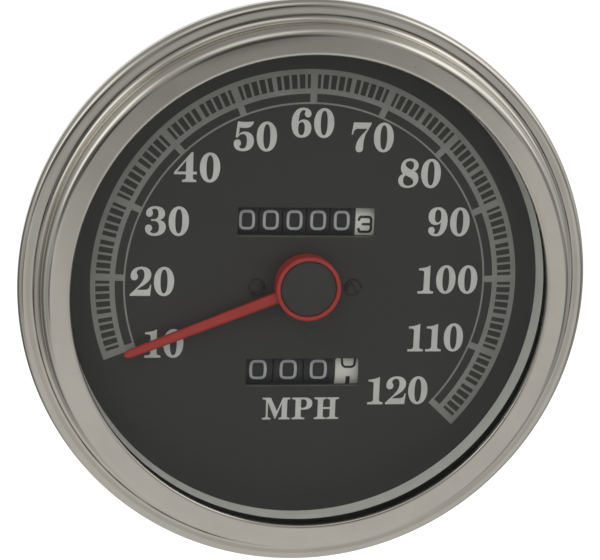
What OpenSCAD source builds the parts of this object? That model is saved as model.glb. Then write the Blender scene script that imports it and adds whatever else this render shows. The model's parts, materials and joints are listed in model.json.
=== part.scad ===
// Mechanical speedometer with an odometer, a trip meter and a stepped chrome bezel.
// Everything is drawn in the gauge's own axes: the dial face is at z = 0, +z looks out
// of the glass at the rider and +y is up the dial. The module gauge() then stands the
// instrument upright, so that the dial faces -Y, the dial's top is +Z, and the origin is
// the middle of the case's back face.
// Sizes are in millimetres and angles in degrees.

/* [Bezel and glass] */
// Outer diameter of the bezel
bezel_d = 127; // [120:0.5:140]
// Width of the bezel's face, from its shoulder to its opening
face_w = 6.6; // [5:0.1:8]
// Height of the bezel's face above the dial
face_h = 12.2; // [10:0.1:16]
// Height of the bezel's outer flange above the dial
flange_h = 4.5; // [3.6:0.1:6]
// Width of the bezel's outer flange
flange_w = 3.2; // [2:0.1:4]
// Depth of the rolled hem behind the dial face
hem_drop = 1; // [0.6:0.1:3]
// Radius of the bezel's rounded shoulder
shoulder_r = 1.7; // [0.8:0.1:2.2]
// Thickness of the bezel's sheet metal
sheet_t = 1; // [0.6:0.1:1.2]
// Thickness of the glass
lens_t = 2.6; // [1.6:0.1:3.2]
// Height of the pale ring's top above the dial
ring_h = 5.5; // [4:0.1:6.5]
// How far the pale ring flares from the dial to its top
ring_flare = 0.9; // [0.3:0.1:1.4]

/* [Case] */
// How far the bezel stands out past the case
overhang = 7.5; // [6.5:0.1:9]
// Depth from the dial face to the case's back
case_depth = 56; // [56:0.5:70]
// Wall thickness of the case
case_t = 1; // [0.6:0.1:1.5]
// Radius of the case's back corner
case_corner_r = 9; // [4:0.5:14]
// Distance between the two mounting studs
stud_span = 64; // [58:0.5:80]
// Diameter of a mounting stud
stud_d = 4.8; // [4:0.1:6]
// Length of a mounting stud behind the case
stud_len = 14; // [8:0.5:20]
// Thread diameter of the cable boss
boss_d = 15.88; // [14:0.01:20]
// Length of the cable boss behind the case
boss_len = 17; // [14:0.5:24]
// Bore of the cable boss, for the cable's ferrule
boss_bore_d = 7.2; // [7:0.1:9]
// Depth of the ferrule's bore
ferrule_depth = 7.7; // [6:0.1:8]
// Diameter of a lamp socket
socket_d = 13; // [10:0.5:15]

/* [Dial] */
// Thickness of the dial plate
dial_t = 0.8; // [0.5:0.1:1.2]
// Width of the odometer's window
odo_window_w = 30.8; // [26:0.2:31.4]
// Width of the trip meter's window
trip_window_w = 25.8; // [22:0.2:27]
// Height of both windows
window_h = 6; // [5:0.1:7]
// Height of the odometer above the dial's middle
odo_y = 14; // [13.5:0.1:16]
// Height of the trip meter above the dial's middle, a negative number
trip_y = -20.4; // [-22:0.1:-20]
// Spacing of the two dial screws
dial_screw_span = 21.7; // [20:0.1:23]

/* [Pointer] */
// Length of the pointer from the dial's middle to its tip
pointer_len = 43.2; // [36:0.1:46]
// Width of the pointer's arm at the hub
pointer_w = 2.6; // [1.8:0.1:3.4]
// Width of the arm at its blunt tip
pointer_tip_w = 2.1; // [1.2:0.1:2.6]
// Thickness of the arm
pointer_t = 1.8; // [1:0.1:2.2]
// Diameter of the pointer's hub ring
hub_d = 14.5; // [12:0.1:18]
// Wall thickness of the hub ring
hub_wall = 0.95; // [0.8:0.05:2]
// Height of the hub ring's rim above the dial
hub_top = 5.5; // [4:0.1:6]
// Direction in which the pointer rests, anticlockwise from +x
pointer_rest_angle = 201.5; // [190:0.5:215]

/* [Number wheels] */
// Radius of every number wheel
wheel_r = 10; // [9.9:0.05:10.1]
// Spacing of the odometer's wheels
odo_pitch = 5.33; // [5.1:0.01:5.4]
// Spacing of the trip meter's wheels
trip_pitch = 6.9; // [6.4:0.05:6.95]
// Gap between neighbouring number wheels
wheel_gap = 0.95; // [0.85:0.01:1.1]
// Diameter of the rods that the wheels turn on
arbor_d = 3; // [2.4:0.1:3.4]
// Clearance of every running fit, on the radius
run_gap = 0.05; // [0.02:0.01:0.08]
// Extra distance between the axes of meshing gears
mesh_gap = 0.12; // [0.08:0.01:0.16]

/* [Drive train] */
// Tooth size of the small gears, as pitch diameter per tooth
gear_m = 0.7; // [0.68:0.01:0.72]
// Pitch radius of the small worms
worm_r = 2.6; // [2.4:0.05:2.8]
// Diameter of the magnet's drum
magnet_d = 27.6; // [22:0.2:28]
// Air gap between the speed cup and the parts each side of it
air_gap = 0.8; // [0.6:0.1:1]
// Diameter of the drive spindle
spindle_d = 4.2; // [3.8:0.1:4.2]

/* [Hidden] */

// Revolved pieces are true circles whatever this number is
$fn = 64;
// Steps along a rounded corner of a profile
arc_steps = 6;
// A little extra that carries a cut clear of a face
eps = 0.1;

// Bezel: radii and heights of its formed profile
bezel_r = bezel_d / 2;
rim_round = 1;
wall_foot_r = bezel_r - flange_w;
wall_taper = 1.3;
shoulder_x = wall_foot_r - wall_taper;
opening_r = shoulder_x - face_w;
face_under = face_h - sheet_t;
flange_under = flange_h - sheet_t;
lip_round = 0.8;
lip_turn = 0.5;

// Case: the flange that the bezel clips over, and the seal on it
case_r = bezel_r - overhang;
case_in_r = case_r - case_t;
case_flange_r = bezel_r - sheet_t - 0.2;
case_flange_t = 1.3;
hem_inner_r = case_r + 0.8;
hem_top = sheet_t - hem_drop;

// Pale ring and glass, stacked on the dial up to the bezel's face
ring_wall = 0.8;
ring_shelf_t = 0.8;
ring_foot_r = opening_r - 0.1;
gasket_r = shoulder_x - shoulder_r - 0.1;
gasket_in_r = opening_r + 0.9;
gasket_h = face_under - ring_h;
lens_r = gasket_r - 1.2;
lens_z = ring_h + (gasket_h - lens_t) / 2;

// Dial and number wheels
dial_r = case_in_r - 1.2;
staff_r = 0.6;
dial_hole_r = 3;
dial_screw_y = -0.7;
dial_screw_r = 0.9;
screw_depth = 4;
dial_head_r = 1.9;
dial_head_h = 1.1;
wheel_under_dial = 1;
axis_z = -(dial_t + wheel_under_dial + wheel_r);
arbor_r = arbor_d / 2;
sleeve_r = 2.4;
odo_count = 6;
trip_count = 4;
odo_x = 0;
trip_x = 0.65;
odo_rim = odo_pitch - wheel_gap;
trip_rim = trip_pitch - wheel_gap;

// Carry gears between neighbouring wheels
carry_teeth = 20;
carry_m = 0.85;
carry_r = carry_m * carry_teeth / 2;
carry_t = 0.38;
carry_root = 0.3;
recess_r = 7;
pinion_teeth = 8;
pinion_r = carry_m * pinion_teeth / 2;
pinion_t = wheel_gap - 0.2;
pinion_off = carry_r + pinion_r + mesh_gap;
rod_r = 0.7;

// Movement: levels of its plates along the gauge's axis
bridge_top = axis_z - wheel_r - 1.2;
bridge_t = 1.5;
collet_top = bridge_top - bridge_t - 0.7;
collet_h = 2.6;
cup_top = collet_top - collet_h - 0.5;
cup_t = 0.6;
cup_h = case_depth - 47.4;
magnet_top = cup_top - cup_t - 1.2;
magnet_h = cup_h - 2;
frame_top = cup_top - cup_h - 1.5;
frame_t = 2;
magnet_r = magnet_d / 2;
cup_r = magnet_r + air_gap + cup_t;
field_r = cup_r + air_gap;
field_t = 1.4;
spring_r = 9.3;
strip_t = 0.3;
spring_z = collet_top - 1.6;
spring_t = 0.8;
spring_post = 1.4;
frame_r = 31;
bridge_r = 37;
bridge_w = 2 * frame_r;
bridge_h = 70;

// Stop: a finger on the pointer's collet that rests against a pin under the bridge
finger_angle = -42;
finger_r = 8.6;
finger_w = 1;
finger_z = collet_top - 0.5;
stop_r = 0.7;
stop_spread = 8;
stop_angle = finger_angle + 2 * asin((stop_r + finger_w / 2 + 0.05) / 2 / stop_spread);
floor_t = 1;
spindle_r = spindle_d / 2;
shaft_r = 1.2;
bearing_r = 5;

// Drive train: three worm stages, 14 x 16 x 10 = 2240 turns of the cable to one mile
cross_teeth = 14;
lay_teeth = 16;
odo_drive_teeth = 10;
function pitch_radius(teeth, m) = teeth * m / 2;
cross_r = pitch_radius(cross_teeth, gear_m);
cross_y = worm_r + cross_r + mesh_gap;
cross_z = frame_top - frame_t - cross_r - 2;
odo_drive_r = pitch_radius(odo_drive_teeth, gear_m);
lay_y = odo_y + odo_drive_r + worm_r + mesh_gap;
lay_m = 1;
lay_r = pitch_radius(lay_teeth, lay_m);
lay_worm_r = lay_y - cross_y - lay_r - mesh_gap;
wheel_face = 1.8;
shaft_end = 0.6;
hub_len = 2;
worm_hub_r = 2.5;
worm_len = 8;
lay_worm_len = 10;
lay_rear_len = 3;
lay_front_len = 6;
socket_depth = 4.6;

// Side plates and the gears outside the right one
plate_t = 1;
plate_gap = 0.3;
odo_half = odo_count * odo_pitch / 2;
left_plate_x = odo_x - odo_half - plate_gap - plate_t;
right_plate_x = odo_x + odo_half + plate_gap;
plate_front = -6;
lay_x = right_plate_x + plate_t + worm_r + 0.9;
spur_x = lay_x + 3.7;
spur_t = 1.5;
spur_teeth = 24;
idler_teeth = 25;
idler_y = (odo_y + trip_y) / 2;
spur_m = (odo_y - trip_y - 2 * mesh_gap) / (spur_teeth + idler_teeth);
reset_gear_teeth = 18;
reset_pinion_teeth = 12;
reset_gear_r = pitch_radius(reset_gear_teeth, gear_m);
reset_pinion_r = pitch_radius(reset_pinion_teeth, gear_m);
reset_y = trip_y - reset_gear_r - reset_pinion_r - mesh_gap;
reset_x = spur_x + spur_t + 1.2;
reset_gear_t = 2;
bush_r = 2.2;
bush_flange_r = 3;
bush_flange_t = 0.8;
bush_seat_x = sqrt(pow(case_r, 2) - pow(reset_y + bush_flange_r, 2));
knob_r = 4.6;
knob_len = 5.6;
knob_x = bush_seat_x + bush_flange_t + 0.5;
knob_bore = 3;

// Back of the case; the stud holes are wide, and the feet inside cover them
stud_hole_r = stud_d / 2 + 1.3;
boss_r = boss_d / 2;
boss_bore_r = boss_bore_d / 2;
boss_end = -case_depth - boss_len;
boss_chamfer = 0.8;
tail_gap = 0.4;
tail_r = boss_bore_r - 0.3 - tail_gap;
bearing_back = -case_depth - 4;
boss_flange_r = 13;
boss_flange_t = 2.5;
spigot_r = 6;
lamp_x = 25;
lamp_y = -31;
socket_r = socket_d / 2;
socket_out = 9;
socket_in = 6;
socket_gap = 0.3;
socket_wall = 0.7;
socket_floor = 1.2;
socket_flange = 1.5;
contact_r = 1.6;
contact_h = 1.4;
tab_t = 0.8;
tab_w = 3;
tab_len = 5;
tab_x = 3.6;
lamp_cap_len = 12;
lamp_neck_r = 4;
bulb_r = 4.6;
lug_t = 2;
lug_w = 6;
lug_left_x = -11;
lug_right_x = lay_x + 7;
cross_len = lug_right_x + lug_t - lug_left_x + 2 * shaft_end;
post_r = 3;
post_spread = 26;
post_angles = [100, 215, 325];
pillar_r = 2;
pillar_spread = 27;
pillar_angles = [20, 160, 200, 340];
screw_r = 1.4;
screw_len = 7;
head_r = 2.8;
head_h = 1.4;

// Colours of the real finishes
chrome = [0.66, 0.65, 0.61];
black = [0.14, 0.14, 0.15];
charcoal = [0.23, 0.23, 0.23];
rubber = [0.07, 0.07, 0.07];
pale_grey = [0.56, 0.58, 0.56];
red = [0.66, 0.19, 0.17];
steel = [0.6, 0.6, 0.62];
brass = [0.75, 0.62, 0.33];
die_cast = [0.55, 0.56, 0.57];
nylon = [0.86, 0.85, 0.8];
ivory = [0.8, 0.79, 0.75];

// Puts a piece from the gauge's axes into the part's frame
module gauge() {
    rotate([90, 0, 0]) translate([0, 0, case_depth]) children();
}

// Extrudes a flat shape along x: its own x becomes y and its own y becomes z
module along_x(x, length) {
    translate([x, 0, 0]) rotate([90, 0, 90]) linear_extrude(length) children();
}

// A rod along x with its middle line at (y, z)
module rod_x(x, length, r, y, z) {
    translate([x, y, z]) rotate([0, 90, 0]) cylinder(h = length, r = r);
}

// A rod along z that starts at height z
module rod_z(x, y, z, length, r) {
    translate([x, y, z]) cylinder(h = length, r = r);
}

// A tube along z
module tube_z(z, length, r, bore_r) {
    rotate_extrude() translate([bore_r, z]) square([r - bore_r, length]);
}

// Points along a round corner
function arc(x, y, r, from, to, steps = arc_steps) =
    [for (i = [0:steps]) let (a = from + (to - from) * i / steps) [x + r * cos(a), y + r * sin(a)]];

// Straight-flanked gear outline with a tooth centred on its own x axis
function gear_points(teeth, r, add, ded) =
    [for (i = [0:teeth - 1]) let (a = 360 * i / teeth, p = 360 / teeth)
        for (c = [[-0.26, r - ded], [-0.11, r + add], [0.11, r + add], [0.26, r - ded]])
            [c[1] * cos(a + c[0] * p), c[1] * sin(a + c[0] * p)]];

module gear_outline(teeth, m) {
    polygon(gear_points(teeth, pitch_radius(teeth, m), 0.75 * m, 0.95 * m));
}

// Single-start worm about z, centred on the origin. Its cross-section is an off-centre
// disc carried round a helix, with the high side facing +x at mid-length.
module worm(pitch_r, m, length) {
    lead = PI * m;
    turns = length / lead;
    rotate([0, 0, -180 * turns])
        linear_extrude(length, center = true, twist = -360 * turns, slices = ceil(9 * turns), $fn = 16)
            translate([0.5 * m, 0]) circle(r = pitch_r - 0.1 * m);
}

// Bezel pressed from one sheet: hem, rim, flange, wall, rounded shoulder, face and lip
module bezel() {
    color(chrome) gauge() rotate_extrude() polygon(concat(
        [[hem_inner_r, -hem_drop]],
        arc(bezel_r - rim_round, rim_round - hem_drop, rim_round, -90, 0),
        arc(bezel_r - rim_round, flange_h - rim_round, rim_round, 0, 90),
        arc(wall_foot_r + 0.5, flange_h + 0.5, 0.5, 270, 190),
        arc(shoulder_x - shoulder_r, face_h - shoulder_r, shoulder_r, 10, 86),
        arc(opening_r + lip_round, face_h - lip_round, lip_round, 90, 180),
        [[opening_r, face_under - lip_turn]],
        [[opening_r + 0.6, face_under - lip_turn]],
        [[opening_r + 0.6, face_under]],
        [[shoulder_x - shoulder_r, face_under]],
        [[shoulder_x - sheet_t, face_h - shoulder_r]],
        [[wall_foot_r - sheet_t, flange_under]],
        [[bezel_r - sheet_t, flange_under]],
        [[bezel_r - sheet_t, hem_top]],
        [[hem_inner_r, hem_top]]
    ));
}

// Flat glass held by the gasket
module lens() {
    color([0.8, 0.85, 0.85, 0.3]) gauge() rod_z(0, 0, lens_z, lens_t, lens_r);
}

// Rubber channel round the edge of the glass
module lens_gasket() {
    color(rubber) gauge() difference() {
        tube_z(ring_h, gasket_h, gasket_r, gasket_in_r);
        tube_z(lens_z, lens_t, lens_r, gasket_in_r - eps);
    }
}

// Rubber ring between the case's flange and the bezel's flange
module case_seal() {
    color(rubber) gauge() tube_z(case_flange_t + hem_top, flange_under - case_flange_t - hem_top,
        case_flange_r, wall_foot_r - 0.4);
}

// Pale conical ring from the dial's edge up to the gasket
module dial_ring() {
    top_r = ring_foot_r + ring_flare;
    color(pale_grey) gauge() rotate_extrude() polygon([
        [ring_foot_r, 0],
        [top_r, ring_h],
        [gasket_r, ring_h],
        [gasket_r, ring_h - ring_shelf_t],
        [top_r + ring_wall, ring_h - ring_shelf_t],
        [ring_foot_r + ring_wall, 0]
    ]);
}

// Plate that the scale is printed on, with its two windows
module dial() {
    color(charcoal) gauge() translate([0, 0, -dial_t]) linear_extrude(dial_t) difference() {
        circle(r = dial_r);
        circle(r = dial_hole_r);
        translate([odo_x - 0.2, odo_y]) square([odo_window_w, window_h], center = true);
        translate([trip_x - 0.45, trip_y]) square([trip_window_w, window_h], center = true);
        for (s = [-1, 1]) translate([s * dial_screw_span / 2, dial_screw_y]) circle(r = dial_screw_r);
    }
}

// Two round-headed screws that hold the dial to its posts
module dial_screws() {
    color(black) gauge() for (s = [-1, 1]) translate([s * dial_screw_span / 2, dial_screw_y, 0]) {
        translate([0, 0, -screw_depth]) cylinder(h = screw_depth, r = dial_screw_r);
        rotate_extrude() polygon(concat([[0, 0]],
            [for (i = [0:arc_steps]) let (a = 90 * i / arc_steps)
                [dial_head_r * cos(a), dial_head_h * sin(a)]]));
    }
}

// Pressed case: a flange under the bezel, a straight wall and a rounded back
module housing() {
    corner_in = case_corner_r - case_t;
    turn_r = case_r - case_corner_r;
    turn_z = case_corner_r - case_depth;
    color(steel) gauge() difference() {
        union() {
            rotate_extrude() polygon(concat(
                [[case_flange_r, hem_top]],
                [[case_flange_r, hem_top + case_flange_t]],
                [[case_in_r, hem_top + case_flange_t]],
                arc(turn_r, turn_z, corner_in, 0, -90),
                [[spigot_r, case_t - case_depth]],
                [[spigot_r, -case_depth]],
                arc(turn_r, turn_z, case_corner_r, -90, 0),
                [[case_r, hem_top]]
            ));
            rod_x(bush_seat_x - 5, 5, bush_flange_r + 0.3, reset_y, axis_z);
        }
        for (s = [-1, 1]) {
            rod_z(s * lamp_x, lamp_y, -case_depth - eps, case_t + 2 * eps, socket_r);
            rod_z(s * stud_span / 2, 0, -case_depth - eps, case_t + 2 * eps, stud_hole_r);
        }
        for (a = post_angles) rotate([0, 0, a])
            rod_z(post_spread, 0, -case_depth - eps, case_t + 2 * eps, screw_r);
        rod_x(bush_seat_x - 8, 16, bush_r, reset_y, axis_z);
    }
}

// Two threaded studs with round feet inside the case
module mounting_studs() {
    color(steel) gauge() for (s = [-1, 1]) {
        rod_z(s * stud_span / 2, 0, -case_depth - stud_len, stud_len + case_t, stud_d / 2);
        rod_z(s * stud_span / 2, 0, case_t - case_depth, 1.5, stud_d);
    }
}

// Threaded boss that the drive cable screws onto, with the spindle's rear bearing inside
module drive_boss() {
    bearing_top = 2.5 - case_depth;
    color(die_cast) gauge() rotate_extrude() polygon([
        [boss_bore_r, boss_end],
        [boss_r - boss_chamfer, boss_end],
        [boss_r, boss_end + boss_chamfer],
        [boss_r, -case_depth - boss_flange_t],
        [boss_flange_r, -case_depth - boss_flange_t],
        [boss_flange_r, -case_depth],
        [spigot_r, -case_depth],
        [spigot_r, bearing_top],
        [spindle_r + run_gap, bearing_top],
        [spindle_r + run_gap, bearing_back],
        [tail_r + tail_gap, bearing_back],
        [tail_r + tail_gap, boss_end + ferrule_depth],
        [boss_bore_r, boss_end + ferrule_depth]
    ]);
}

// Three screws through the case's back into the movement's posts
module case_screws() {
    color(steel) gauge() for (a = post_angles) rotate([0, 0, a]) translate([post_spread, 0, 0]) {
        rod_z(0, 0, -case_depth, screw_len, screw_r);
        difference() {
            rod_z(0, 0, -case_depth - head_h, head_h, head_r);
            translate([-head_r, -0.4, -case_depth - head_h - eps]) cube([2 * head_r, 0.8, 0.7]);
        }
    }
}

// Two push-in lamp sockets with a flange, a centre contact and two side tabs
module lamp_sockets() {
    color(steel) gauge() for (s = [-1, 1]) translate([s * lamp_x, lamp_y, -case_depth]) {
        tube_z(-socket_out, socket_out + socket_in, socket_r, socket_r - socket_wall);
        tube_z(-socket_floor, socket_floor, socket_r + socket_flange, socket_r - socket_wall);
        rod_z(0, 0, -socket_out, socket_floor, socket_r - socket_wall / 2);
        rod_z(0, 0, -socket_out - contact_h, contact_h + eps, contact_r);
        for (t = [-1, 1]) translate([t * tab_x - tab_t / 2, -tab_w / 2, -socket_out - tab_len])
            cube([tab_t, tab_w, tab_len + socket_floor / 2]);
    }
}

// Two small bayonet lamps, standing in their sockets inside the case
module lamps() {
    cap_r = socket_r - socket_wall - socket_gap;
    bulb_z = lamp_cap_len + bulb_r;
    color([0.9, 0.9, 0.85]) gauge() for (s = [-1, 1])
        translate([s * lamp_x, lamp_y, socket_floor - case_depth - socket_out]) {
            cylinder(h = lamp_cap_len, r = cap_r);
            rotate_extrude() polygon(concat(
                [[0, lamp_cap_len], [lamp_neck_r, lamp_cap_len]],
                arc(0, bulb_z, bulb_r, 0, 90)
            ));
        }
}

// Brass bush where the reset stem leaves the case
module reset_bush() {
    bush_len = 6;
    color(brass) gauge() translate([bush_seat_x, reset_y, axis_z]) rotate([0, 90, 0]) difference() {
        union() {
            translate([0, 0, -bush_len]) cylinder(h = bush_len, r = bush_r);
            cylinder(h = bush_flange_t, r = bush_flange_r);
        }
        translate([0, 0, -bush_len - eps]) cylinder(h = bush_len + 2, r = shaft_r + run_gap);
    }
}

// Die-cast plate that carries the drive, on three posts from the case's back
module movement_frame() {
    plate_z = frame_top - frame_t;
    lug_z = cross_z - lug_w / 2;
    pillar_len = bridge_top - bridge_t - plate_z - 1;
    color(die_cast) gauge() difference() {
        union() {
            rod_z(0, 0, plate_z, frame_t, frame_r);
            for (a = post_angles) rotate([0, 0, a])
                rod_z(post_spread, 0, case_t - case_depth, plate_z + case_depth - case_t + 1, post_r);
            for (a = pillar_angles) rotate([0, 0, a])
                rod_z(pillar_spread, 0, plate_z + 1, pillar_len, pillar_r);
            for (x = [lug_left_x, lug_right_x]) translate([x, cross_y - lug_w / 2, lug_z])
                cube([lug_t, lug_w, plate_z + 1 - lug_z]);
        }
        rod_z(0, 0, plate_z - eps, frame_t + 2 * eps, bearing_r);
        rod_z(lay_x, lay_y, plate_z - eps, frame_t + 2 * eps, shaft_r + run_gap);
        rod_x(lug_left_x - 1, lug_right_x + lug_t + 2 - lug_left_x, shaft_r + run_gap, cross_y, cross_z);
        for (a = post_angles) rotate([0, 0, a]) rod_z(post_spread, 0, -case_depth, screw_len, screw_r);
    }
}

// Plain bearing of the drive spindle, pressed into the movement's plate
module bearing_bush() {
    color(brass) gauge() {
        tube_z(frame_top - frame_t - 1, frame_t + 1, bearing_r, spindle_r + run_gap);
        tube_z(frame_top - frame_t - 1, 1, bearing_r + 1.5, spindle_r + run_gap);
    }
}

// Plate under the number wheels, with the two dial posts, the pointer's bearing, the
// post that holds the hairspring's outer end, and the pin that stops the pointer
module top_bridge() {
    plate_z = bridge_top - bridge_t;
    post_len = -dial_t - bridge_top;
    color(die_cast) gauge() difference() {
        union() {
            translate([0, 0, plate_z]) linear_extrude(bridge_t) intersection() {
                circle(r = bridge_r);
                square([bridge_w, bridge_h], center = true);
            }
            for (s = [-1, 1]) rod_z(s * dial_screw_span / 2, dial_screw_y, bridge_top, post_len, 2.2);
            translate([-spring_r - spring_post, -1, spring_z])
                cube([spring_post, 2, plate_z - spring_z + eps]);
            rotate([0, 0, stop_angle])
                rod_z(stop_spread, 0, finger_z - 0.1, plate_z - finger_z + 0.2, stop_r);
        }
        rod_z(0, 0, plate_z - eps, bridge_t + 2 * eps, staff_r + run_gap);
        rod_z(lay_x, lay_y, plate_z - eps, bridge_t + 2 * eps, shaft_r + run_gap);
        for (s = [-1, 1])
            rod_z(s * dial_screw_span / 2, dial_screw_y, -screw_depth, screw_depth, dial_screw_r);
    }
}

// Upright plate at one end of the number wheels, standing on the bridge
module side_plate(x, odo_bore, trip_bore) {
    along_x(x, plate_t) difference() {
        polygon(concat(
            [[reset_y - 3.4, bridge_top]],
            arc(reset_y - 0.4, plate_front - 3, 3, 180, 90),
            arc(odo_y + pinion_off - 0.6, plate_front - 3, 3, 90, 0),
            [[odo_y + pinion_off + 2.4, bridge_top]]
        ));
        translate([odo_y, axis_z]) circle(r = odo_bore);
        translate([trip_y, axis_z]) circle(r = trip_bore);
        for (y = [odo_y, trip_y]) translate([y + pinion_off, axis_z]) circle(r = rod_r);
        if (x > 0) {
            translate([idler_y, axis_z]) circle(r = arbor_r);
            translate([reset_y, axis_z]) circle(r = shaft_r + run_gap);
        }
    }
}

module left_side_plate() {
    color(steel) gauge() side_plate(left_plate_x, arbor_r, arbor_r + run_gap);
}

module right_side_plate() {
    color(steel) gauge() side_plate(right_plate_x, sleeve_r + run_gap, sleeve_r + run_gap);
}

// Fixed rod that the odometer's wheels turn on
module odometer_arbor() {
    color(steel) gauge() rod_x(left_plate_x, spur_x + spur_t + 1.5 - left_plate_x, arbor_r, odo_y, axis_z);
}

// Two thin rods that carry the transfer pinions
module pinion_rods() {
    color(steel) gauge() for (y = [odo_y, trip_y])
        rod_x(left_plate_x, right_plate_x + plate_t - left_plate_x, rod_r, y + pinion_off, axis_z);
}

// Stub on the right side plate that the idler turns on
module idler_pin() {
    color(steel) gauge() {
        rod_x(right_plate_x, spur_x + spur_t + 1 - right_plate_x, arbor_r, idler_y, axis_z);
        rod_x(right_plate_x + plate_t, spur_x - right_plate_x - plate_t - 0.3, 2.2, idler_y, axis_z);
    }
}

// Steel cup that closes the magnet's field round the speed cup
module field_cup() {
    color(steel) gauge() {
        tube_z(frame_top, cup_top + 0.6 - frame_top, field_r + field_t, field_r);
        tube_z(frame_top, floor_t, field_r + field_t, 6);
    }
}

// Flat spiral that pulls the pointer back: four turns of thin strip
module hairspring() {
    turns = 4;
    steps = 18 * turns;
    r_in = 3.2;
    function spiral(i, out) = let (a = 180 + 360 * turns * i / steps)
        (r_in + (spring_r - r_in) * i / steps + out) * [cos(a), sin(a)];
    color(brass) gauge() translate([0, 0, spring_z]) linear_extrude(spring_t) polygon(concat(
        [for (i = [0:steps]) spiral(i, 0)],
        [for (i = [steps:-1:0]) spiral(i, strip_t)]
    ));
}

// Outline of the pointer's arm, drawn in from its edges by the given amount
module arm_outline(inset) {
    root_x = hub_d / 2 - hub_wall / 2;
    polygon([
        [root_x, pointer_w / 2 - inset],
        [root_x, inset - pointer_w / 2],
        [pointer_len - 2.2, inset - pointer_tip_w / 2],
        [pointer_len - 0.5 - inset, inset - pointer_tip_w / 4],
        [pointer_len - inset, 0],
        [pointer_len - 0.5 - inset, pointer_tip_w / 4 - inset],
        [pointer_len - 2.2, pointer_tip_w / 2 - inset]
    ]);
}

// Red pointer: a raised hub ring on a thin web, and a long arm with bevelled edges
module pointer() {
    hub_r = hub_d / 2;
    web_z = 1;
    arm_z = 1.5;
    bevel = 0.4;
    color(red) gauge() rotate([0, 0, pointer_rest_angle]) difference() {
        union() {
            tube_z(web_z, hub_top - web_z, hub_r, hub_r - hub_wall);
            rod_z(0, 0, web_z, 0.6, hub_r - hub_wall / 2);
            translate([0, 0, arm_z]) hull() {
                linear_extrude(pointer_t) arm_outline(bevel);
                translate([0, 0, bevel]) linear_extrude(pointer_t - 2 * bevel) arm_outline(0);
            }
        }
        rod_z(0, 0, web_z - eps, 1, staff_r);
    }
}

// Dark disc that fills the pointer's hub
module pointer_cap() {
    web_top = 1.6;
    color(charcoal) gauge() rod_z(0, 0, web_top, hub_top - 0.3 - web_top, hub_d / 2 - hub_wall - 0.05);
}

// Thin staff from the pointer down to the spindle's end
module pointer_staff() {
    color(steel) gauge() rod_z(0, 0, magnet_top - 1, 1.6 - magnet_top + 1, staff_r);
}

// Aluminium cup that the turning magnet drags round
module speed_cup() {
    color([0.75, 0.76, 0.77]) gauge() {
        tube_z(cup_top - cup_h, cup_h, cup_r, cup_r - cup_t);
        tube_z(cup_top - cup_t, cup_t, cup_r, staff_r);
    }
}

// Brass collet on the staff: it holds the spring's inner end, and its finger is the stop
module spring_collet() {
    color(brass) gauge() {
        tube_z(cup_top, collet_top - cup_top, 2.4, staff_r);
        rotate([0, 0, finger_angle]) translate([2, -finger_w / 2, finger_z])
            cube([finger_r - 2, finger_w, collet_top - finger_z]);
    }
}

// Drive spindle: square socket for the cable, rear journal, worm, front journal
module drive_spindle() {
    tail_z = boss_end + ferrule_depth + 0.2;
    tail_top = bearing_back - 0.3;
    socket_w = 2.7;
    color(steel) gauge() difference() {
        union() {
            rod_z(0, 0, tail_z, tail_top - tail_z, tail_r);
            rod_z(0, 0, tail_z, magnet_top + 0.6 - tail_z, spindle_r);
            translate([0, 0, cross_z]) rotate([0, 0, 90]) worm(worm_r, gear_m, worm_len);
        }
        translate([-socket_w / 2, -socket_w / 2, tail_z - eps]) cube([socket_w, socket_w, socket_depth]);
        rod_z(0, 0, magnet_top - 1.2, 2, staff_r + run_gap);
    }
}

// Ring magnet on the front of the spindle
module magnet() {
    color(black) gauge() tube_z(magnet_top - magnet_h, magnet_h, magnet_r, spindle_r);
}

// Shaft across the back of the movement, with the second worm cut on it
module cross_shaft() {
    color(steel) gauge() {
        rod_x(lug_left_x - shaft_end, cross_len, shaft_r, cross_y, cross_z);
        translate([lay_x, cross_y, cross_z]) rotate([90, 0, 90]) worm(lay_worm_r, lay_m, lay_worm_len);
    }
}

// Wheel on the cross shaft, driven by the spindle's worm
module cross_wheel() {
    color(nylon) gauge() translate([0, cross_y, cross_z]) {
        along_x(-wheel_face / 2, wheel_face) difference() {
            rotate(180 / cross_teeth) gear_outline(cross_teeth, gear_m);
            circle(r = shaft_r);
        }
        along_x(wheel_face / 2, hub_len) difference() {
            circle(r = worm_hub_r);
            circle(r = shaft_r);
        }
    }
}

// Shaft that runs forward beside the number wheels, with the third worm near its front
module lay_shaft() {
    rear_z = cross_z - lay_rear_len;
    front_z = axis_z + lay_front_len;
    color(steel) gauge() {
        rod_z(lay_x, lay_y, rear_z, front_z - rear_z, shaft_r);
        translate([lay_x, lay_y, axis_z]) rotate([0, 0, -90]) worm(worm_r, gear_m, worm_len);
    }
}

// Wheel at the back of the lay shaft, driven by the cross shaft's worm
module lay_wheel() {
    color(nylon) gauge() translate([lay_x, lay_y, cross_z]) difference() {
        union() {
            translate([0, 0, -wheel_face / 2]) linear_extrude(wheel_face)
                rotate(180 / lay_teeth) gear_outline(lay_teeth, lay_m);
            cylinder(h = wheel_face / 2 + hub_len, r = worm_hub_r);
        }
        translate([0, 0, -wheel_face]) cylinder(h = 2 * wheel_face + hub_len, r = shaft_r);
    }
}

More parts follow.
